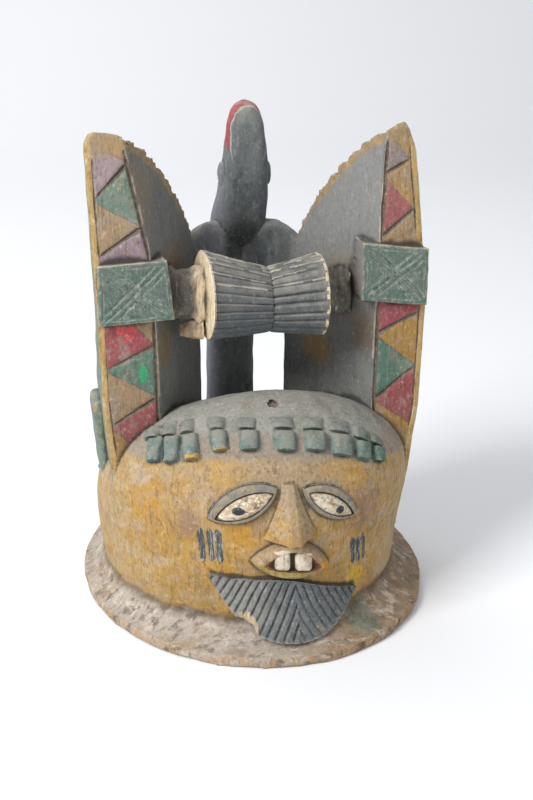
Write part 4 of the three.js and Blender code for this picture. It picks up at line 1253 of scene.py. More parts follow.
def paint_wall(context):
    """Ochre distemper over grey ground, matt, broken by scrubbing and handling, on the head and brim."""
    colours = context.scene.mask_colours
    tree, place = start_paint("ochre_paint")
    x, y, z = (add(tree, "SeparateXYZ", None, (place,), output=k) for k in range(3))
    colour = coats(tree, place, colours.ochre, (
        ("#A07A36", 42, (1, 1, 0.8), 0.44, 0.62, 0.75), ("#A99884", 26, (1, 1, 0.8), 0.50, 0.66, 0.7),
        ("#8F7A62", 15, (1.4, 1, 0.7), 0.52, 0.68, 0.5)))
    low_face = add(tree, "Math", TIMES, (add(tree, "MapRange", EASED, (z, 118.0, 92.0)),
                                         add(tree, "MapRange", EASED, (y, -60.0, -100.0))))
    yellow = cloud(tree, place, 20, 31, stretch=(1.6, 1, 0.7), detail=6, rough=0.65)
    yellow = add(tree, "Math", TIMES_PLUS, (low_face, 0.1, yellow))
    colour = coat(tree, colour, linear("#A37B2C"), add(tree, "MapRange", EASED, (yellow, 0.5, 0.64)), 0.75)
    colour = spots(tree, place, colour, (
        ("#AE8028", (-90, -85, 108), 17, 0.7, 0.7, 0.9), ("#A97D2A", (-46, -117, 62), 17, 0.75, 0.7, 0.9),
        ("#AE7F26", (-30, -128, 98), 16, 0.8, 0.7, 0.9), ("#BE9426", (62, -112, 46), 9, 0.95, 0.8, 0.4),
        ("#A97F2E", (58, -110, 131), 12, 0.6, 0.7, 0.8), ("#AE8532", (-38, -115, 142), 14, 0.6, 0.7, 0.9),
        ("#896850", (62, -106, 104), 20, 0.65, 0.7, 0.8), ("#806658", (-66, -107, 104), 13, 0.6, 0.7, 0.8),
        ("#8A6A58", (8, -130, 92), 15, 0.6, 0.7, 0.8), ("#7E6034", (-66, -105, 40), 24, 0.35, 0.7, 0.9),
        ("#958470", (0, -122, 150), 34, 0.5, 0.7, 0.9), ("#A0875F", (96, -60, 90), 44, 0.55, 0.6, 0.9),
        ("#5E6B3A", (59, -114, 40), 4, 0.8, 0.8, 0.4)))
    colour = coats(tree, place, colour, (
        ("#BFA676", 7, (1.3, 1, 0.8), 0.54, 0.70, 0.55), ("#654E31", 5, (1, 1, 1.6), 0.54, 0.70, 0.65),
        ("#74604A", 10, (1, 1, 3.5), 0.52, 0.68, 0.55), ("#8F7F70", 16, (1, 1, 1.5), 0.54, 0.68, 0.5)))
    square = add(tree, "Math", TIMES, (x, x))
    hairline = add(tree, "Math", TIMES_PLUS, (square, HAIRLINE["fall"], HAIRLINE["z"]))
    hairline = add(tree, "Math", TIMES_PLUS, (x, HAIRLINE["slope"], hairline))
    back = add(tree, "MapRange", EASED, (y, -20.0, 70.0))
    hairline = add(tree, "Math", TIMES_PLUS, (back, -80.0, hairline))
    above = add(tree, "Math", MINUS, (z, hairline))
    ragged = add(tree, "Math", TIMES_PLUS, (cloud(tree, place, 8, 40, detail=6), 9.0, above))
    crown = add(tree, "MapRange", EASED, (ragged, 3.0, 6.5))
    grey = coats(tree, place, linear("#8B8A82"), (
        ("#75786F", 22, (1, 1, 1), 0.45, 0.6, 0.8), ("#8F7F6A", 13, (1, 1, 1), 0.54, 0.68, 0.6),
        ("#5A6058", 6, (1, 1.6, 1), 0.56, 0.70, 0.55), ("#A8A498", 4, (1.8, 1, 1), 0.55, 0.7, 0.6)))
    grey = coat(tree, grey, linear("#8A7C6C"), add(tree, "MapRange", EASED, (above, 22.0, 8.0)))
    colour = coat(tree, colour, grey, crown)
    line = add(tree, "Math", TIMES_PLUS, (cloud(tree, place, 20, 42, detail=6), 16.0, z))
    brim = coat(tree, linear("#A4988C"), linear("#7C6446"), add(tree, "MapRange", EASED, (x, -40.0, 75.0)))
    brim = coats(tree, place, brim, (
        ("#7F6A52", 20, (1, 1, 0.6), 0.48, 0.60, 0.7), ("#C2B7A8", 10, (2, 1, 1), 0.52, 0.62, 0.7),
        ("#8E7440", 13, (1.6, 1, 1), 0.54, 0.66, 0.6), ("#4A3A28", 8, (2, 1, 1), 0.53, 0.63, 0.75)))
    broken = add(tree, "MapRange", EASED, (cloud(tree, place, 6, 46, detail=6, rough=0.7), 0.55, 0.63))
    chips = add(tree, "Math", TIMES, (spot(tree, place, (92, -118, 8), 62, 45, ragged=0.3), broken))
    brim = coat(tree, brim, linear("#A26D33"), chips, 0.8)
    green = spot(tree, place, (66, -126, 16), 15, 44, ragged=0.7, soft=0.7)
    brim = coat(tree, brim, linear("#4E5A48"), green, 0.85)
    colour = coat(tree, colour, brim, add(tree, "MapRange", EASED, (line, 37.0, 33.0)))
    crease = add(tree, "Math", TIMES, (add(tree, "MapRange", EASED, (line, 29.0, 34.5)),
                                       add(tree, "MapRange", EASED, (line, 40.0, 35.0))))
    colour = coat(tree, colour, linear("#5A4733"), crease, 0.55)
    patches = add(tree, "MapRange", EASED, (cloud(tree, place, 9, 49, detail=6), 0.42, 0.58))
    worn_edge = add(tree, "Math", TIMES, (add(tree, "MapRange", EASED, (z, 11.0, 7.0)), patches))
    colour = coat(tree, colour, linear("#A98A62"), worn_edge, 0.6)
    colour = coat(tree, colour, linear("#2A231C"), spot(tree, place, (-70, -111, 139), 1.6, 47, ragged=0.1))
    finish_wood(tree, place, colour, linear("#8C7252"), wear_from=0.6, dust=0.26)


def paint_slate(context):
    """Blue-grey distemper over brown wood, dusty where it faces up and rubbed through beside the drum, with
    painted light and shade on the bird and ears.
    """
    colours = context.scene.mask_colours
    tree, place = start_paint("slate_paint")
    x, y, z = (add(tree, "SeparateXYZ", None, (place,), output=k) for k in range(3))
    colour = coats(tree, place, colours.slate, (
        ("#626664", 30, (1, 1, 1.4), 0.44, 0.6, 0.7), ("#383D40", 17, (1, 1, 1.6), 0.54, 0.68, 0.7),
        ("#6B655C", 8, (1, 1, 3), 0.54, 0.68, 0.55), ("#7F817D", 5, (1, 1, 2), 0.56, 0.70, 0.55)))
    away = add(tree, "MapRange", EASED, (add(tree, "Math", UNSIGNED, (x,)), 34.0, 46.0))
    high = add(tree, "Math", TIMES, (away, add(tree, "MapRange", EASED, (z, 215.0, 300.0))))
    # Painted light: paler grey high on the right ear's inner face, which looks towards the light on the left
    right_ear_painted_light = add(tree, "Math", TIMES, (high, add(tree, "MapRange", EASED, (x, -60.0, 60.0))))
    colour = coat(tree, colour, linear("#85878A"), right_ear_painted_light, 0.7)
    colour = coat(tree, colour, linear("#75736C"), away, 0.5)
    colour = spots(tree, place, colour, (
        ("#7B6A55", (-62, -30, 268), 26, 0.75, 0.7, 0.9), ("#74603F", (-74, -45, 222), 16, 0.7, 0.7, 0.9),
        ("#8A6A3C", (52, -10, 205), 15, 0.75, 0.7, 0.8), ("#77664F", (62, -35, 262), 24, 0.6, 0.7, 0.9),
        ("#6E5A41", (80, -52, 225), 16, 0.55, 0.7, 0.9), ("#7F6F58", (-96, -57, 345), 22, 0.5, 0.7, 0.9)))
    top = add(tree, "Math", TIMES_PLUS, (cloud(tree, place, 7, 61, detail=5), 14.0, z))
    slanted = add(tree, "Math", TIMES_PLUS, (add(tree, "Math", PLUS, (z, -350.0)), -0.17, y))
    slanted = add(tree, "Math", TIMES_PLUS, (cloud(tree, place, 5, 62, detail=5), 3.0, slanted))
    behind = add(tree, "MapRange", EASED, (slanted, 8.4, 9.2))
    middle = add(tree, "Math", MINUS, (1.0, away))
    middle_drum = add(tree, "MapRange", EASED, (add(tree, "Math", UNSIGNED, (x,)), 56.0, 50.0))
    red_band = add(tree, "Math", TIMES, (add(tree, "MapRange", EASED, (top, 368.0, 373.0)), behind))
    red_band = add(tree, "Math", TIMES, (red_band, middle))
    red = coats(tree, place, linear("#8E3338"), (
        ("#A8584F", 5, (1, 1, 1), 0.5, 0.64, 0.6), ("#4A2A2C", 4, (1, 1, 2), 0.52, 0.66, 0.7)))
    colour = coat(tree, colour, red, red_band)
    # Painted highlight: a pale line along the bird's top edge, just below the red band
    top_edge_highlight = add(tree, "Math", TIMES, (add(tree, "MapRange", EASED, (slanted, 7.2, 7.8)),
                                      add(tree, "MapRange", EASED, (slanted, 9.0, 8.4))))
    high_middle = add(tree, "Math", TIMES, (add(tree, "MapRange", EASED, (z, 350.0, 365.0)), middle))
    top_edge_highlight = add(tree, "Math", TIMES, (top_edge_highlight, high_middle))
    colour = coat(tree, colour, linear("#A3A39B"), top_edge_highlight, 0.7)
    # Painted light: pale violet-grey on the left side of the bird and post, as the light from the left gives
    # it
    left_middle = add(tree, "Math", TIMES, (add(tree, "MapRange", EASED, (x, -8.0, -17.0)), middle))
    low_back = add(tree, "Math", TIMES, (add(tree, "MapRange", EASED, (z, 370.0, 340.0)),
                                         add(tree, "MapRange", EASED, (y, 10.0, 20.0))))
    left_side_painted_light = add(tree, "Math", TIMES, (left_middle, low_back))
    colour = coat(tree, colour, linear("#6D6C76"), left_side_painted_light, 0.6)
    # Painted shade: a near-black patch on the neck between the wings, where shade falls
    neck = spot(tree, place, (1, 24, 268), 17, 63, scale=(1, 0.6, 0.42), ragged=0.15, soft=0.5)
    neck = add(tree, "Math", TIMES, (neck, add(tree, "MapRange", EASED, (y, -2.0, 6.0))))
    colour = coat(tree, colour, linear("#25292A"), neck, 0.85)
    edge = add(tree, "Attribute", {"attribute_name": "edge"}, output=2)
    edge = add(tree, "Math", TIMES_PLUS, (cloud(tree, place, 9, 64, detail=6, rough=0.65), 0.9, edge))
    worn_edge = coats(tree, place, linear("#8A7556"), (
        ("#A8864E", 6, (1, 1, 1), 0.5, 0.64, 0.7), ("#6A5A48", 5, (1, 1, 2), 0.52, 0.66, 0.7)))
    upper = add(tree, "MapRange", EASED, (z, 305.0, 335.0))
    colour = coat(tree, colour, worn_edge, add(tree, "MapRange", EASED, (edge, 0.9, 1.12)), upper)
    on_drum = add(tree, "Math", TIMES, (middle_drum, add(tree, "MapRange", EASED, (y, -8.0, -18.0))))
    facing = add(tree, "SeparateXYZ", None, (add(tree, "NewGeometry", output=1),), output=2)
    up = add(tree, "MapRange", EASED, (facing, -0.1, 0.6))
    colour = coat(tree, colour, linear("#3C4142"), on_drum, 0.35)
    colour = coat(tree, colour, linear("#686560"), add(tree, "Math", TIMES, (up, on_drum)), 0.45)
    worn = coat(tree, linear("#8A7253"), linear("#B3AB9B"), on_drum, up)
    finish_wood(tree, place, colour, worn, wear_from=0.45, dust=0.42, grit=0.6)


def paint_strip(context, name):
    """The ear's front strip: hand-filled triangles of distemper, matt and chalky, between carved lines."""
    colours = context.scene.mask_colours
    named = {"ochre": linear("#98743A"), "mauve": linear("#85727A" if name == "left" else "#77666A"),
             "green": colours.green, "red": colours.red, "earth": linear("#8F7757")}
    tree, place = start_paint(f"{name}_strip_paint")
    across = add(tree, "Attribute", {"attribute_name": "across"}, output=2)
    z = add(tree, "SeparateXYZ", None, (place,), output=2)
    level = add(tree, "Math", TIMES_PLUS, (cloud(tree, place, 6, 3, detail=5), 4.0, z))
    zones = STRIP_ZONES[name]
    colour = named[zones[-1][0]]
    outline = None
    for zone, z_outer, z_inner in reversed(zones[:-1]):
        edge = add(tree, "Math", TIMES_PLUS, (across, float(z_outer - z_inner), float(z_inner) + 2.0))
        away = add(tree, "Math", MINUS, (level, edge))
        colour = coat(tree, colour, named[zone], add(tree, "MapRange", EASED, (away, -0.4, 0.4)))
        drawn = add(tree, "MapRange", EASED, (add(tree, "Math", UNSIGNED, (away,)), 1.2, 0.4))
        outline = drawn if outline is None else add(tree, "Math", LARGER, (outline, drawn))
    colour = coat(tree, colour, linear("#4B3D36"), outline, 0.5)
    colour = coats(tree, place, colour, (
        ("#8D8378", 12, (1, 1, 1.4), 0.50, 0.66, 0.55), ("#6B5A3E", 7, (1, 1, 1.8), 0.54, 0.68, 0.5),
        ("#A8763A", 5, (1, 1, 1.5), 0.60, 0.72, 0.5)))
    patches = add(tree, "MapRange", EASED, (cloud(tree, place, 9, 66, detail=6), 0.4, 0.56))
    top = add(tree, "Math", TIMES, (add(tree, "MapRange", EASED, (z, 366.0, 378.0)), patches))
    colour = coat(tree, colour, linear("#86683C"), top, 0.75)
    colour = coat(tree, colour, linear("#A59A8C"), add(tree, "MapRange", EASED, (z, 280.0, 380.0)), 0.26)
    low = add(tree, "MapRange", EASED, (z, 260.0, 150.0))
    colour = coat(tree, colour, linear("#4E4238"), low, 0.22 if name == "left" else 0.12)
    border = coats(tree, place, linear("#A98D58"), (
        ("#9A6A2E", 9, (1, 1, 2), 0.50, 0.64, 0.8), ("#C7B48C", 6, (1, 1, 2), 0.54, 0.68, 0.8)))
    edge_line = add(tree, "Math", TIMES_PLUS, (cloud(tree, place, 6, 7), 0.06, across))
    colour = coat(tree, colour, border, add(tree, "MapRange", EASED, (edge_line, 1.02, 1.07)))
    colour = coat(tree, colour, linear("#625F5A"), add(tree, "MapRange", EASED, (edge_line, 0.02, -0.03)))
    ridge = add(tree, "Math", TIMES, (add(tree, "MapRange", EASED, (edge_line, -0.075, -0.035)),
                                      add(tree, "MapRange", EASED, (edge_line, 0.03, -0.01))))
    colour = coat(tree, colour, linear("#A59A8A"), ridge, 0.8)
    fresh = None
    if name == "left":
        broken = add(tree, "MapRange", EASED, (cloud(tree, place, 4, 72, detail=6), 0.42, 0.5))
        red_spot = spot(tree, place, (-105, EAR_STRIP_Y, 241), 8, 70, ragged=0.8)
        red_spot = add(tree, "Math", TIMES, (red_spot, broken))
        green_spot = spot(tree, place, (-93, EAR_STRIP_Y, 206), 6, 71, scale=(1.9, 1, 0.8), ragged=0.8)
        colour = coat(tree, colour, linear("#B93430"), red_spot)
        colour = coat(tree, colour, linear("#1E8A55"), green_spot)
        fresh = add(tree, "Math", PLUS, (red_spot, green_spot))
    finish_wood(tree, place, colour, linear("#9C8A68"), wear_from=0.5, dust=0.2, gloss=fresh)


def paint_hair():
    """Green-grey distemper, thick on the lumps and dusty above, with yellow from the wall's brush and painted
    shade under the lumps.
    """
    tree, place = start_paint("hair_paint")
    colour = coats(tree, place, linear("#5F726C"), (
        ("#6E766D", 13, (1, 1, 1), 0.46, 0.6, 0.8), ("#3C5245", 9, (1, 1, 1), 0.52, 0.66, 0.8),
        ("#49795F", 8, (1, 1, 1), 0.56, 0.66, 0.7), ("#6B7E88", 6, (1, 1, 1), 0.55, 0.68, 0.6)))
    colour = spots(tree, place, colour, (
        ("#3C5E4C", (84, -92, 145), 30, 0.7, 0.6, 0.8), ("#BC8C28", (-64, -107, 152), 7, 0.9, 0.8, 0.3),
        ("#BC8C28", (-43, -113, 156), 8, 0.95, 0.8, 0.3), ("#2F7048", (30, -106, 171), 8, 0.9, 0.8, 0.4)))
    x, z = (add(tree, "SeparateXYZ", None, (place,), output=k) for k in (0, 2))
    square = add(tree, "Math", TIMES, (x, x))
    line = add(tree, "Math", TIMES_PLUS, (square, HAIRLINE["fall"], HAIRLINE["z"] + 15.0))
    line = add(tree, "Math", TIMES_PLUS, (x, HAIRLINE["slope"], line))
    upper = add(tree, "Math", MINUS, (z, line))
    upper = add(tree, "Math", TIMES_PLUS, (cloud(tree, place, 7, 48, detail=5), 8.0, upper))
    colour = coat(tree, colour, linear("#77786F"), add(tree, "MapRange", EASED, (upper, 3.0, 6.0)), 0.75)
    # Painted shade: faces that look down, under the lumps, are darkened
    facing = add(tree, "SeparateXYZ", None, (add(tree, "NewGeometry", output=1),), output=2)
    under = add(tree, "MapRange", EASED, (facing, 0.05, -0.35))
    colour = coat(tree, colour, linear("#31413A"), under, 0.6)
    finish_wood(tree, place, colour, linear("#8F8A7A"), wear_from=0.5, dust=0.75, dust_colour="#89877E")


def paint_eyes(context):
    """Chalky white distemper on the balls, cracked and rubbed brown, with a pupil dabbed on in black."""
    tree, place = start_paint("eye_paint")
    colour = coats(tree, place, context.scene.mask_colours.chalk, (
        ("#A88D66", 7, (1.4, 1, 1), 0.44, 0.58, 0.85), ("#6E5A40", 3, (1.4, 1, 1), 0.50, 0.60, 0.85),
        ("#E3DACA", 2.4, (1.6, 1, 1), 0.54, 0.62, 0.8)))
    for k, pupil in enumerate(PUPILS):
        middle = on_face(pupil["x"], pupil["z"], EYE_LIFT)
        shape = (1 / pupil["half"], 0.1, 1 / pupil["height"])
        mask = spot(tree, place, tuple(middle), 1.0, 2 + k, scale=shape, ragged=0.3, soft=0.25)
        colour = coat(tree, colour, linear("#23262A"), mask)
    finish_wood(tree, place, colour, linear("#8A7A60"), wear_from=0.7, dust=0.1, grit=0.8)


def paint_lips():
    """Tan distemper above the teeth, yellow-green below them and an orange dab in one corner."""
    tree, place = start_paint("lip_paint")
    x, z = (add(tree, "SeparateXYZ", None, (place,), output=k) for k in (0, 2))
    slope = math.tan(math.radians(MOUTH["tilt"]))
    middle = add(tree, "Math", TIMES_PLUS, (x, slope, MOUTH["z"] - 3 - MOUTH["x"] * slope))
    above = add(tree, "Math", MINUS, (z, middle))
    above = add(tree, "MapRange", EASED, (above, -2.0, 2.0))
    colour = coat(tree, linear("#8A7A38"), linear("#A08560"), above)
    colour = coats(tree, place, colour, (
        ("#B39A78", 8, (1, 1, 1), 0.50, 0.66, 0.6), ("#7B5C36", 5, (1, 1, 1), 0.54, 0.68, 0.6)))
    colour = coat(tree, colour, linear("#7E6546"), add(tree, "MapRange", EASED, (x, 8.0, 26.0)), 0.6)
    colour = coat(tree, colour, linear("#B07A28"), spot(tree, place, (31, -132, 70), 6, 3, ragged=0.5))
    sideways = add(tree, "Math", UNSIGNED, (add(tree, "Math", PLUS, (x, -6.0)),))
    pale_line = add(tree, "Math", TIMES_PLUS, (x, slope, 84.7))
    from_line = add(tree, "Math", UNSIGNED, (add(tree, "Math", MINUS, (pale_line, z)),))
    pale = add(tree, "Math", TIMES, (add(tree, "MapRange", EASED, (sideways, 15.5, 13.5)),
                                     add(tree, "MapRange", EASED, (from_line, 1.1, 0.4))))
    smear = spot(tree, place, (-2.2, -140, 85.6), 3, 5, scale=(0.55, 1, 1.6), ragged=0.3)
    pale = add(tree, "Math", LARGER, (pale, smear))
    colour = coat(tree, colour, linear("#D5CAB6"), pale, 0.9)
    finish_wood(tree, place, colour, linear("#A8906A"), wear_from=0.5, dust=0.2)


def paint_torn():
    """Torn end grain with raised fibres: pale at the beard's chip and beside the drum, then grey-brown."""
    tree, place = start_paint("torn_wood")
    colour = coats(tree, place, linear("#524F48"), (
        ("#766C5B", 7, (1, 1, 4), 0.48, 0.62, 0.7), ("#35342F", 5, (1, 1, 5), 0.50, 0.62, 0.75)))
    pale = coats(tree, place, linear("#B39F80"), (
        ("#8D7A5E", 6, (1, 1, 4), 0.46, 0.62, 0.7), ("#D6C6A6", 4, (1, 1, 5), 0.54, 0.68, 0.7)))
    x = add(tree, "SeparateXYZ", None, (place,), output=0)
    x = add(tree, "Math", TIMES_PLUS, (cloud(tree, place, 6, 8, stretch=(1, 1, 3), detail=6), 12.0, x))
    beside = add(tree, "Math", TIMES, (add(tree, "MapRange", EASED, (x, -49.0, -42.0)),
                                       add(tree, "MapRange", EASED, (x, 10.0, 0.0))))
    finish_wood(tree, place, coat(tree, colour, pale, beside), linear("#9A8B72"), wear_from=0.5, dust=0.3)


# The simpler finishes: ground, broken coats, worn colour, then settings of finish_wood
PLAIN_FINISHES = {
    # Green distemper, dusty and rubbed grey on the flat, greener low down
    "panel_paint": ("#56645B", (("#3D6350", 14, (1, 1, 1), 0.48, 0.62, 0.8),
        ("#7F857C", 7, (1, 1, 1), 0.5, 0.66, 0.7), ("#4B5148", 5, (1, 1, 1), 0.54, 0.68, 0.6)), "#8B8570",
        {"wear_from": 0.4, "dust": 0.2}),
    # The same paint cut through to pale wood that has greyed
    "panel_cut": ("#66736A", (("#949C90", 5, (1, 1, 1), 0.5, 0.64, 0.7),
        ("#3E4A42", 4, (1, 1, 1), 0.5, 0.62, 0.7)), "#979B8E", {"wear_from": 0.5, "dust": 0.1}),
    # Slate distemper on the beard, its ridges rubbed to a warm grey
    "beard_paint": ("#51575A", (("#686C6B", 10, (1, 1, 2), 0.46, 0.62, 0.7),
        ("#566B78", 9, (1, 1, 1.5), 0.56, 0.68, 0.5), ("#3A3F41", 6, (1, 1, 2), 0.54, 0.68, 0.5)),
        "#86847C", {"wear_from": 0.42, "dust": 0.3, "marks": (
            ("#7C7D78", (-38, -134, 48), 24, 0.75, 0.6, 0.9),
            ("#8D8878", (28, -150, 24), 7, 0.6, 0.8, 0.6))}),
    # Thin grey over ochre on the eyelids, brushed to their edges
    "lid_paint": ("#857C6C", (("#676B6B", 9, (1.6, 1, 1), 0.46, 0.62, 0.85),
        ("#96835F", 7, (1.6, 1, 1), 0.5, 0.64, 0.75)), "#948062", {"wear_from": 0.5, "dust": 0.2}),
    # Chalky white on the teeth, stained where it has flaked
    "tooth_paint": ("#CFC3AE", (("#A48F72", 6, (1, 1, 1), 0.48, 0.62, 0.8),
        ("#8A745A", 3, (1, 1, 1), 0.56, 0.68, 0.7)), "#9F8A6A",
        {"wear_from": 0.6, "dust": 0.0, "grit": 0.8}),
    # Brown stain inside the mouth, red where it is deepest
    "mouth_paint": ("#6B4526", (("#9A6D34", 6, (1, 1, 1), 0.46, 0.6, 0.8),
        ("#4A2419", 5, (1, 1, 1), 0.52, 0.64, 0.7)), "#8A6236", {"wear_from": 0.5, "dust": 0.0}),
    # Bare hardwood where a piece has split off, pale with fibres standing up
    "fresh_cut_wood": ("#C8B698", (("#A5906F", 5, (1, 1, 4), 0.48, 0.62, 0.7),
        ("#E2D5BC", 4, (1, 1, 5), 0.52, 0.66, 0.7)), "#D8C8A8", {"wear_from": 0.5, "dust": 0.1}),
    # Bare wood of the hollow, cut with a gouge and darkened by handling
    "hollow_wood": ("#6B5238", (("#4E3B29", 20, (1, 1, 1.5), 0.44, 0.62, 0.8),
        ("#80633F", 9, (1, 1, 2), 0.54, 0.68, 0.6)), "#80633F", {"wear_from": 0.4, "dust": 0.2}),
    # Dirt and old paint settled in the carved lines, and painted shade on the panels' undersides
    "groove_dirt_and_shade": ("#54473B", (("#6E6050", 6, (1, 1, 1), 0.46, 0.62, 0.7),
        ("#8C8272", 4, (1, 1, 1), 0.58, 0.7, 0.6)), "#7E705E", {"wear_from": 0.6, "dust": 0.3}),
    # Blue-black distemper dabbed into the cheek cuts and round the eyeballs
    "scar_paint": ("#3F4343", (("#5C6468", 4, (1, 1, 3), 0.48, 0.62, 0.7),
        ("#A39A8A", 1.6, (1, 1, 12), 0.52, 0.6, 0.9)), "#6E6A60", {"wear_from": 0.6, "dust": 0.0}),
    # Grey-green distemper on the ears' outer sides, rubbed to ochre along the edges
    "side_paint": ("#66756A", (("#7D7A66", 26, (1, 1, 1.5), 0.44, 0.62, 0.8),
        ("#496252", 12, (1, 1, 2), 0.52, 0.66, 0.7), ("#8F8872", 7, (1, 1, 2), 0.55, 0.68, 0.6)), "#9C8350",
        {"wear_from": 0.4, "dust": 0.3}),
    # Ochre and bare wood mixed by rubbing along the ears' thin edges
    "edge_paint": ("#8E7550", (("#70583E", 9, (1, 1, 1), 0.46, 0.62, 0.8),
        ("#A98A4E", 6, (1, 1, 1), 0.54, 0.68, 0.7), ("#8F8778", 12, (1, 1, 1), 0.52, 0.66, 0.6)), "#A8946E",
        {"wear_from": 0.4, "dust": 0.3}),
    # Ridges between the drum's flutes and the panels' tops, rubbed through the slate paint to pale ground
    "rubbed_ridge": ("#9E988A", (("#6E6C66", 5, (2, 1, 1), 0.48, 0.62, 0.8),
        ("#BDB6A6", 4, (2, 1, 1), 0.52, 0.66, 0.6)), "#C4BDAD",
        {"wear_from": 0.4, "dust": 0.1, "grit": 0.6}),
    # A split of paler wood that still hangs under the drum's end
    "splinter_wood": ("#9C8768", (("#745F46", 6, (1, 1, 3), 0.46, 0.62, 0.8),
        ("#C8B791", 5, (1, 1, 4), 0.54, 0.68, 0.7)), "#C2AB84", {"wear_from": 0.4, "dust": 0.2}),
}


def paint_all(context):
    """Fills every finish of the list."""
    for name in FINISHES:
        material = bpy.data.materials.new(name)
        material.use_nodes = True
    paint_wall(context)
    paint_slate(context)
    paint_strip(context, "left")
    paint_strip(context, "right")
    paint_hair()
    paint_eyes(context)
    paint_lips()
    paint_torn()
    for name, (ground, layers, worn, settings) in PLAIN_FINISHES.items():
        tree, place = start_paint(name)
        colour = coats(tree, place, linear(ground), layers)
        colour = spots(tree, place, colour, settings.get("marks", ()))
        rest = {key: value for key, value in settings.items() if key != "marks"}
        finish_wood(tree, place, colour, linear(worn), **rest)


# Stage


# Metres and degrees. The floor's back part bends up into a wall, so no horizon shows behind the mask
FLOOR = {"width": 12, "front": -3, "back": 3.2, "rows": 40, "bend_at": 0.6, "wall_at": 0.8, "pull": 0.5,
         "rise": 1.2, "wall": 4}
# Name, place, size and power in watts
LAMPS = (("key", (-1.7, -1.1, 1.7), 1.0, 70), ("fill", (1.5, -1.7, 1.0), 1.8, 9),
         ("back", (-0.5, 1.5, 1.8), 1.6, 14))
LAMP_AIM = Vector((0, 0, 0.15))
SKY_STRENGTH = 0.58
CAMERA = {"place": (-0.2262, -1.1044, 0.5655), "down": 20.1, "turn": -12.27, "lens": 65.0, "sensor": 36.0}


def make_stage(context):
    """A pale floor that curves up behind, soft light from the left and the photograph's camera."""
    bm = bmesh.new()
    bmesh.ops.create_grid(bm, x_segments=1, y_segments=FLOOR["rows"], size=0.5)
    for vert in bm.verts:
        along = vert.co.y + 0.5
        bend = clamp((along - FLOOR["bend_at"]) / 0.2)
        flat = between(FLOOR["front"], FLOOR["back"], min(along, FLOOR["wall_at"]) / FLOOR["wall_at"])
        upright = clamp((along - FLOOR["wall_at"]) / 0.2)
        vert.co = Vector((vert.co.x * FLOOR["width"], flat - FLOOR["pull"] * bend * bend,
                          FLOOR["rise"] * bend * bend + FLOOR["wall"] * upright))
    mesh = bpy.data.meshes.new("floor")
    bm.to_mesh(mesh)
    bm.free()
    for polygon in mesh.polygons:
        polygon.use_smooth = True
    floor = bpy.data.objects.new("floor", mesh)
    context.collection.objects.link(floor)
    # Matt white paper: it takes a soft shadow and gives no shine, so the eye stays on the mask
    paper = bpy.data.materials.new("matt_paper")
    paper.use_nodes = True
    paper.node_tree.nodes.clear()
    shader = add(paper.node_tree, "BsdfPrincipled", None, {"Base Color": linear("#E9EAEC"), "Roughness": 0.9})
    add(paper.node_tree, "OutputMaterial", None, {"Surface": shader})
    mesh.materials.append(paper)

    world = bpy.data.worlds.new("studio")
    world.use_nodes = True
    sky = world.node_tree.nodes["Background"].inputs
    sky["Color"].default_value = linear("#F2F4F8")
    sky["Strength"].default_value = SKY_STRENGTH
    context.scene.world = world
    for name, place, size, power in LAMPS:
        lamp = bpy.data.lights.new(name, "AREA")
        lamp.energy = power
        lamp.size = size
        lamp_object = bpy.data.objects.new(name, lamp)
        lamp_object.location = place
        lamp_object.rotation_euler = (LAMP_AIM - Vector(place)).to_track_quat("-Z", "Y").to_euler()
        context.collection.objects.link(lamp_object)

    lens = bpy.data.cameras.new("camera")
    lens.lens = CAMERA["lens"]
    lens.sensor_width = CAMERA["sensor"]
    camera = bpy.data.objects.new("camera", lens)
    camera.location = CAMERA["place"]
    camera.rotation_euler = (math.radians(90 - CAMERA["down"]), 0.0, math.radians(CAMERA["turn"]))
    context.collection.objects.link(camera)
    context.scene.camera = camera
    context.scene.view_settings.view_transform = "Standard"


# Add-on

# Joining, mm and degrees: what is merged, what counts as a sliver, and the angle that stays a sharp edge
MERGE_DISTANCE = 0.08
SLIVER = 0.05
SHARP_ANGLE = 42
# The part of the head where the hair's lumps are softened a little more
HAIR_ZONE = {"low": HAIRLINE["z"] - 14, "high": 182, "front": -60, "half": 78}


class MaskSizes(PropertyGroup):
    wall: FloatProperty(name="Wall", description="Thickness of the head's wall", default=18 * MM,
                        unit="LENGTH")
    groove_width: FloatProperty(name="Groove width", description="Width of the carved lines on the ears",
                                default=3.0 * MM, unit="LENGTH")
    groove_depth: FloatProperty(name="Groove depth", description="Depth of the carved lines on the ears",
                                default=1.8 * MM, unit="LENGTH")
    left_flutes: IntProperty(name="Left flutes", description="Bands round the drum's left half",
                             default=27, min=3)
    right_flutes: IntProperty(name="Right flutes", description="Bands round the drum's right half",
                              default=22, min=3)
    scallops: IntProperty(name="Scallops", description="Lumps along each ear's curved edge",
                          default=7, min=1)


class MaskColours(PropertyGroup):
    ochre: FloatVectorProperty(name="Ochre", description="Wall, borders and some triangles", size=4,
                               default=linear("#A78D62"), subtype="COLOR", min=0, max=1)
    slate: FloatVectorProperty(name="Slate", description="Inner sides of the ears, drum, post and bird",
                               size=4, default=linear("#4F5557"), subtype="COLOR", min=0, max=1)
    green: FloatVectorProperty(name="Green", description="Triangles on the ears", size=4,
                               default=linear("#4B6C5E"), subtype="COLOR", min=0, max=1)
    red: FloatVectorProperty(name="Red", description="Triangles on the ears", size=4,
                             default=linear("#8C4347"), subtype="COLOR", min=0, max=1)
    chalk: FloatVectorProperty(name="Chalk white", description="Eyeballs", size=4,
                               default=linear("#CBBFA8"), subtype="COLOR", min=0, max=1)


class MASK_OT_paints(Operator):
    """Mix the paints and bare woods of the mask"""
    bl_idname = "mask.paints"
    bl_label = "Paints"

    def execute(self, context):
        paint_all(context)
        return {"FINISHED"}


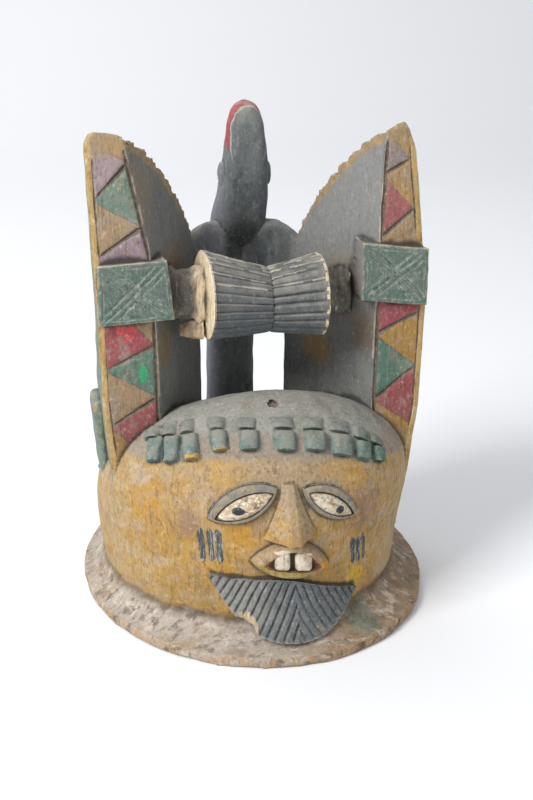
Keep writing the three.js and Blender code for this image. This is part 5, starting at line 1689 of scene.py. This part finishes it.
class MASK_OT_head(Operator):
    """Carve the head with its rim, eyes, nose, mouth, beard and cheek strokes"""
    bl_idname = "mask.head"
    bl_label = "Head"

    def execute(self, context):
        head = make_shell(context)
        for eye in EYES:
            carve_eye(context, head, eye)
        combine(context, head, [make_nose(context)], "UNION")
        carve_mouth(context, head)
        combine(context, head, [make_beard(context)], "UNION")
        cut_scars(context, head)
        cut_crown(context, head)
        head.name = "head"
        return {"FINISHED"}


class MASK_OT_hair(Operator):
    """Carve the rows of hair lumps"""
    bl_idname = "mask.hair"
    bl_label = "Hair"

    def execute(self, context):
        make_hair(context).name = "hair"
        return {"FINISHED"}


class MASK_OT_ears(Operator):
    """Carve both ears with their scalloped edges, strips and panels"""
    bl_idname = "mask.ears"
    bl_label = "Ears"

    def execute(self, context):
        for name, ear in EARS.items():
            make_ear(context, name, ear)
        return {"FINISHED"}


class MASK_OT_drum(Operator):
    """Carve the fluted drum and its torn stubs"""
    bl_idname = "mask.drum"
    bl_label = "Drum"

    def execute(self, context):
        make_drum(context)
        return {"FINISHED"}


class MASK_OT_bird(Operator):
    """Carve the post, the bird and its wings"""
    bl_idname = "mask.bird"
    bl_label = "Bird"

    def execute(self, context):
        make_bird(context)
        return {"FINISHED"}


class MASK_OT_join(Operator):
    """Join the sub-solids into one carving, hollow it and mark its wear"""
    bl_idname = "mask.join"
    bl_label = "Join and hollow"

    def execute(self, context):
        mask = bpy.data.objects["head"]
        others = [bpy.data.objects[name] for name in ("hair", "left_ear", "right_ear", "drum", "bird")]
        combine(context, mask, others, "UNION")
        combine(context, mask, [make_hollow(context)], "DIFFERENCE")
        bm = bmesh.new()
        bm.from_mesh(mask.data)
        bmesh.ops.remove_doubles(bm, verts=bm.verts[:], dist=MERGE_DISTANCE)
        bmesh.ops.dissolve_degenerate(bm, edges=bm.edges[:], dist=SLIVER)
        bmesh.ops.triangulate(bm, faces=bm.faces[:])
        soften(bm, 0.3, 1, [v for v in bm.verts if v.co.z > 0.5])
        soften(bm, 0.5, 3, [v for v in bm.verts if HAIR_ZONE["low"] < v.co.z < HAIR_ZONE["high"]
                            and v.co.y < HAIR_ZONE["front"] and abs(v.co.x) < HAIR_ZONE["half"]])
        bmesh.ops.translate(bm, verts=bm.verts[:], vec=-RIM_MIDDLE)
        bmesh.ops.scale(bm, verts=bm.verts[:], vec=(MM, MM, MM))
        for face in bm.faces:
            face.smooth = True
        bm.to_mesh(mask.data)
        bm.free()
        mask.data.set_sharp_from_angle(angle=math.radians(SHARP_ANGLE))
        mark_wear(mask.data)
        mark_strips(mask.data)
        mark_edges(mask.data)
        mask.name = "carved_mask"
        mask.data.name = "carved_mask"
        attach(mask, "root")
        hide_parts("helmet_mask")
        return {"FINISHED"}


class MASK_OT_stage(Operator):
    """Set up the floor, the lights and the camera"""
    bl_idname = "mask.stage"
    bl_label = "Stage"

    def execute(self, context):
        make_stage(context)
        return {"FINISHED"}


class MASK_PT_panel(Panel):
    bl_idname = "MASK_PT_panel"
    bl_label = "Helmet mask"
    bl_space_type = "VIEW_3D"
    bl_region_type = "UI"
    bl_category = "Mask"

    def draw(self, context):
        for group in (context.scene.mask_sizes, context.scene.mask_colours):
            for name in group.__annotations__:
                self.layout.prop(group, name)
        for operator in OPERATORS:
            self.layout.operator(operator.bl_idname)


OPERATORS = (MASK_OT_stage, MASK_OT_paints, MASK_OT_head, MASK_OT_hair, MASK_OT_ears, MASK_OT_drum,
             MASK_OT_bird, MASK_OT_join)
CLASSES = (MaskSizes, MaskColours, *OPERATORS, MASK_PT_panel)


def register():
    for item in CLASSES:
        bpy.utils.register_class(item)
    bpy.types.Scene.mask_sizes = PointerProperty(type=MaskSizes)
    bpy.types.Scene.mask_colours = PointerProperty(type=MaskColours)


def unregister():
    del bpy.types.Scene.mask_colours
    del bpy.types.Scene.mask_sizes
    for item in reversed(CLASSES):
        bpy.utils.unregister_class(item)


def main():
    register()
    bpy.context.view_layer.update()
    for operator in OPERATORS:
        group, name = operator.bl_idname.split(".")
        getattr(getattr(bpy.ops, group), name)()


if __name__ == "__main__":
    main()
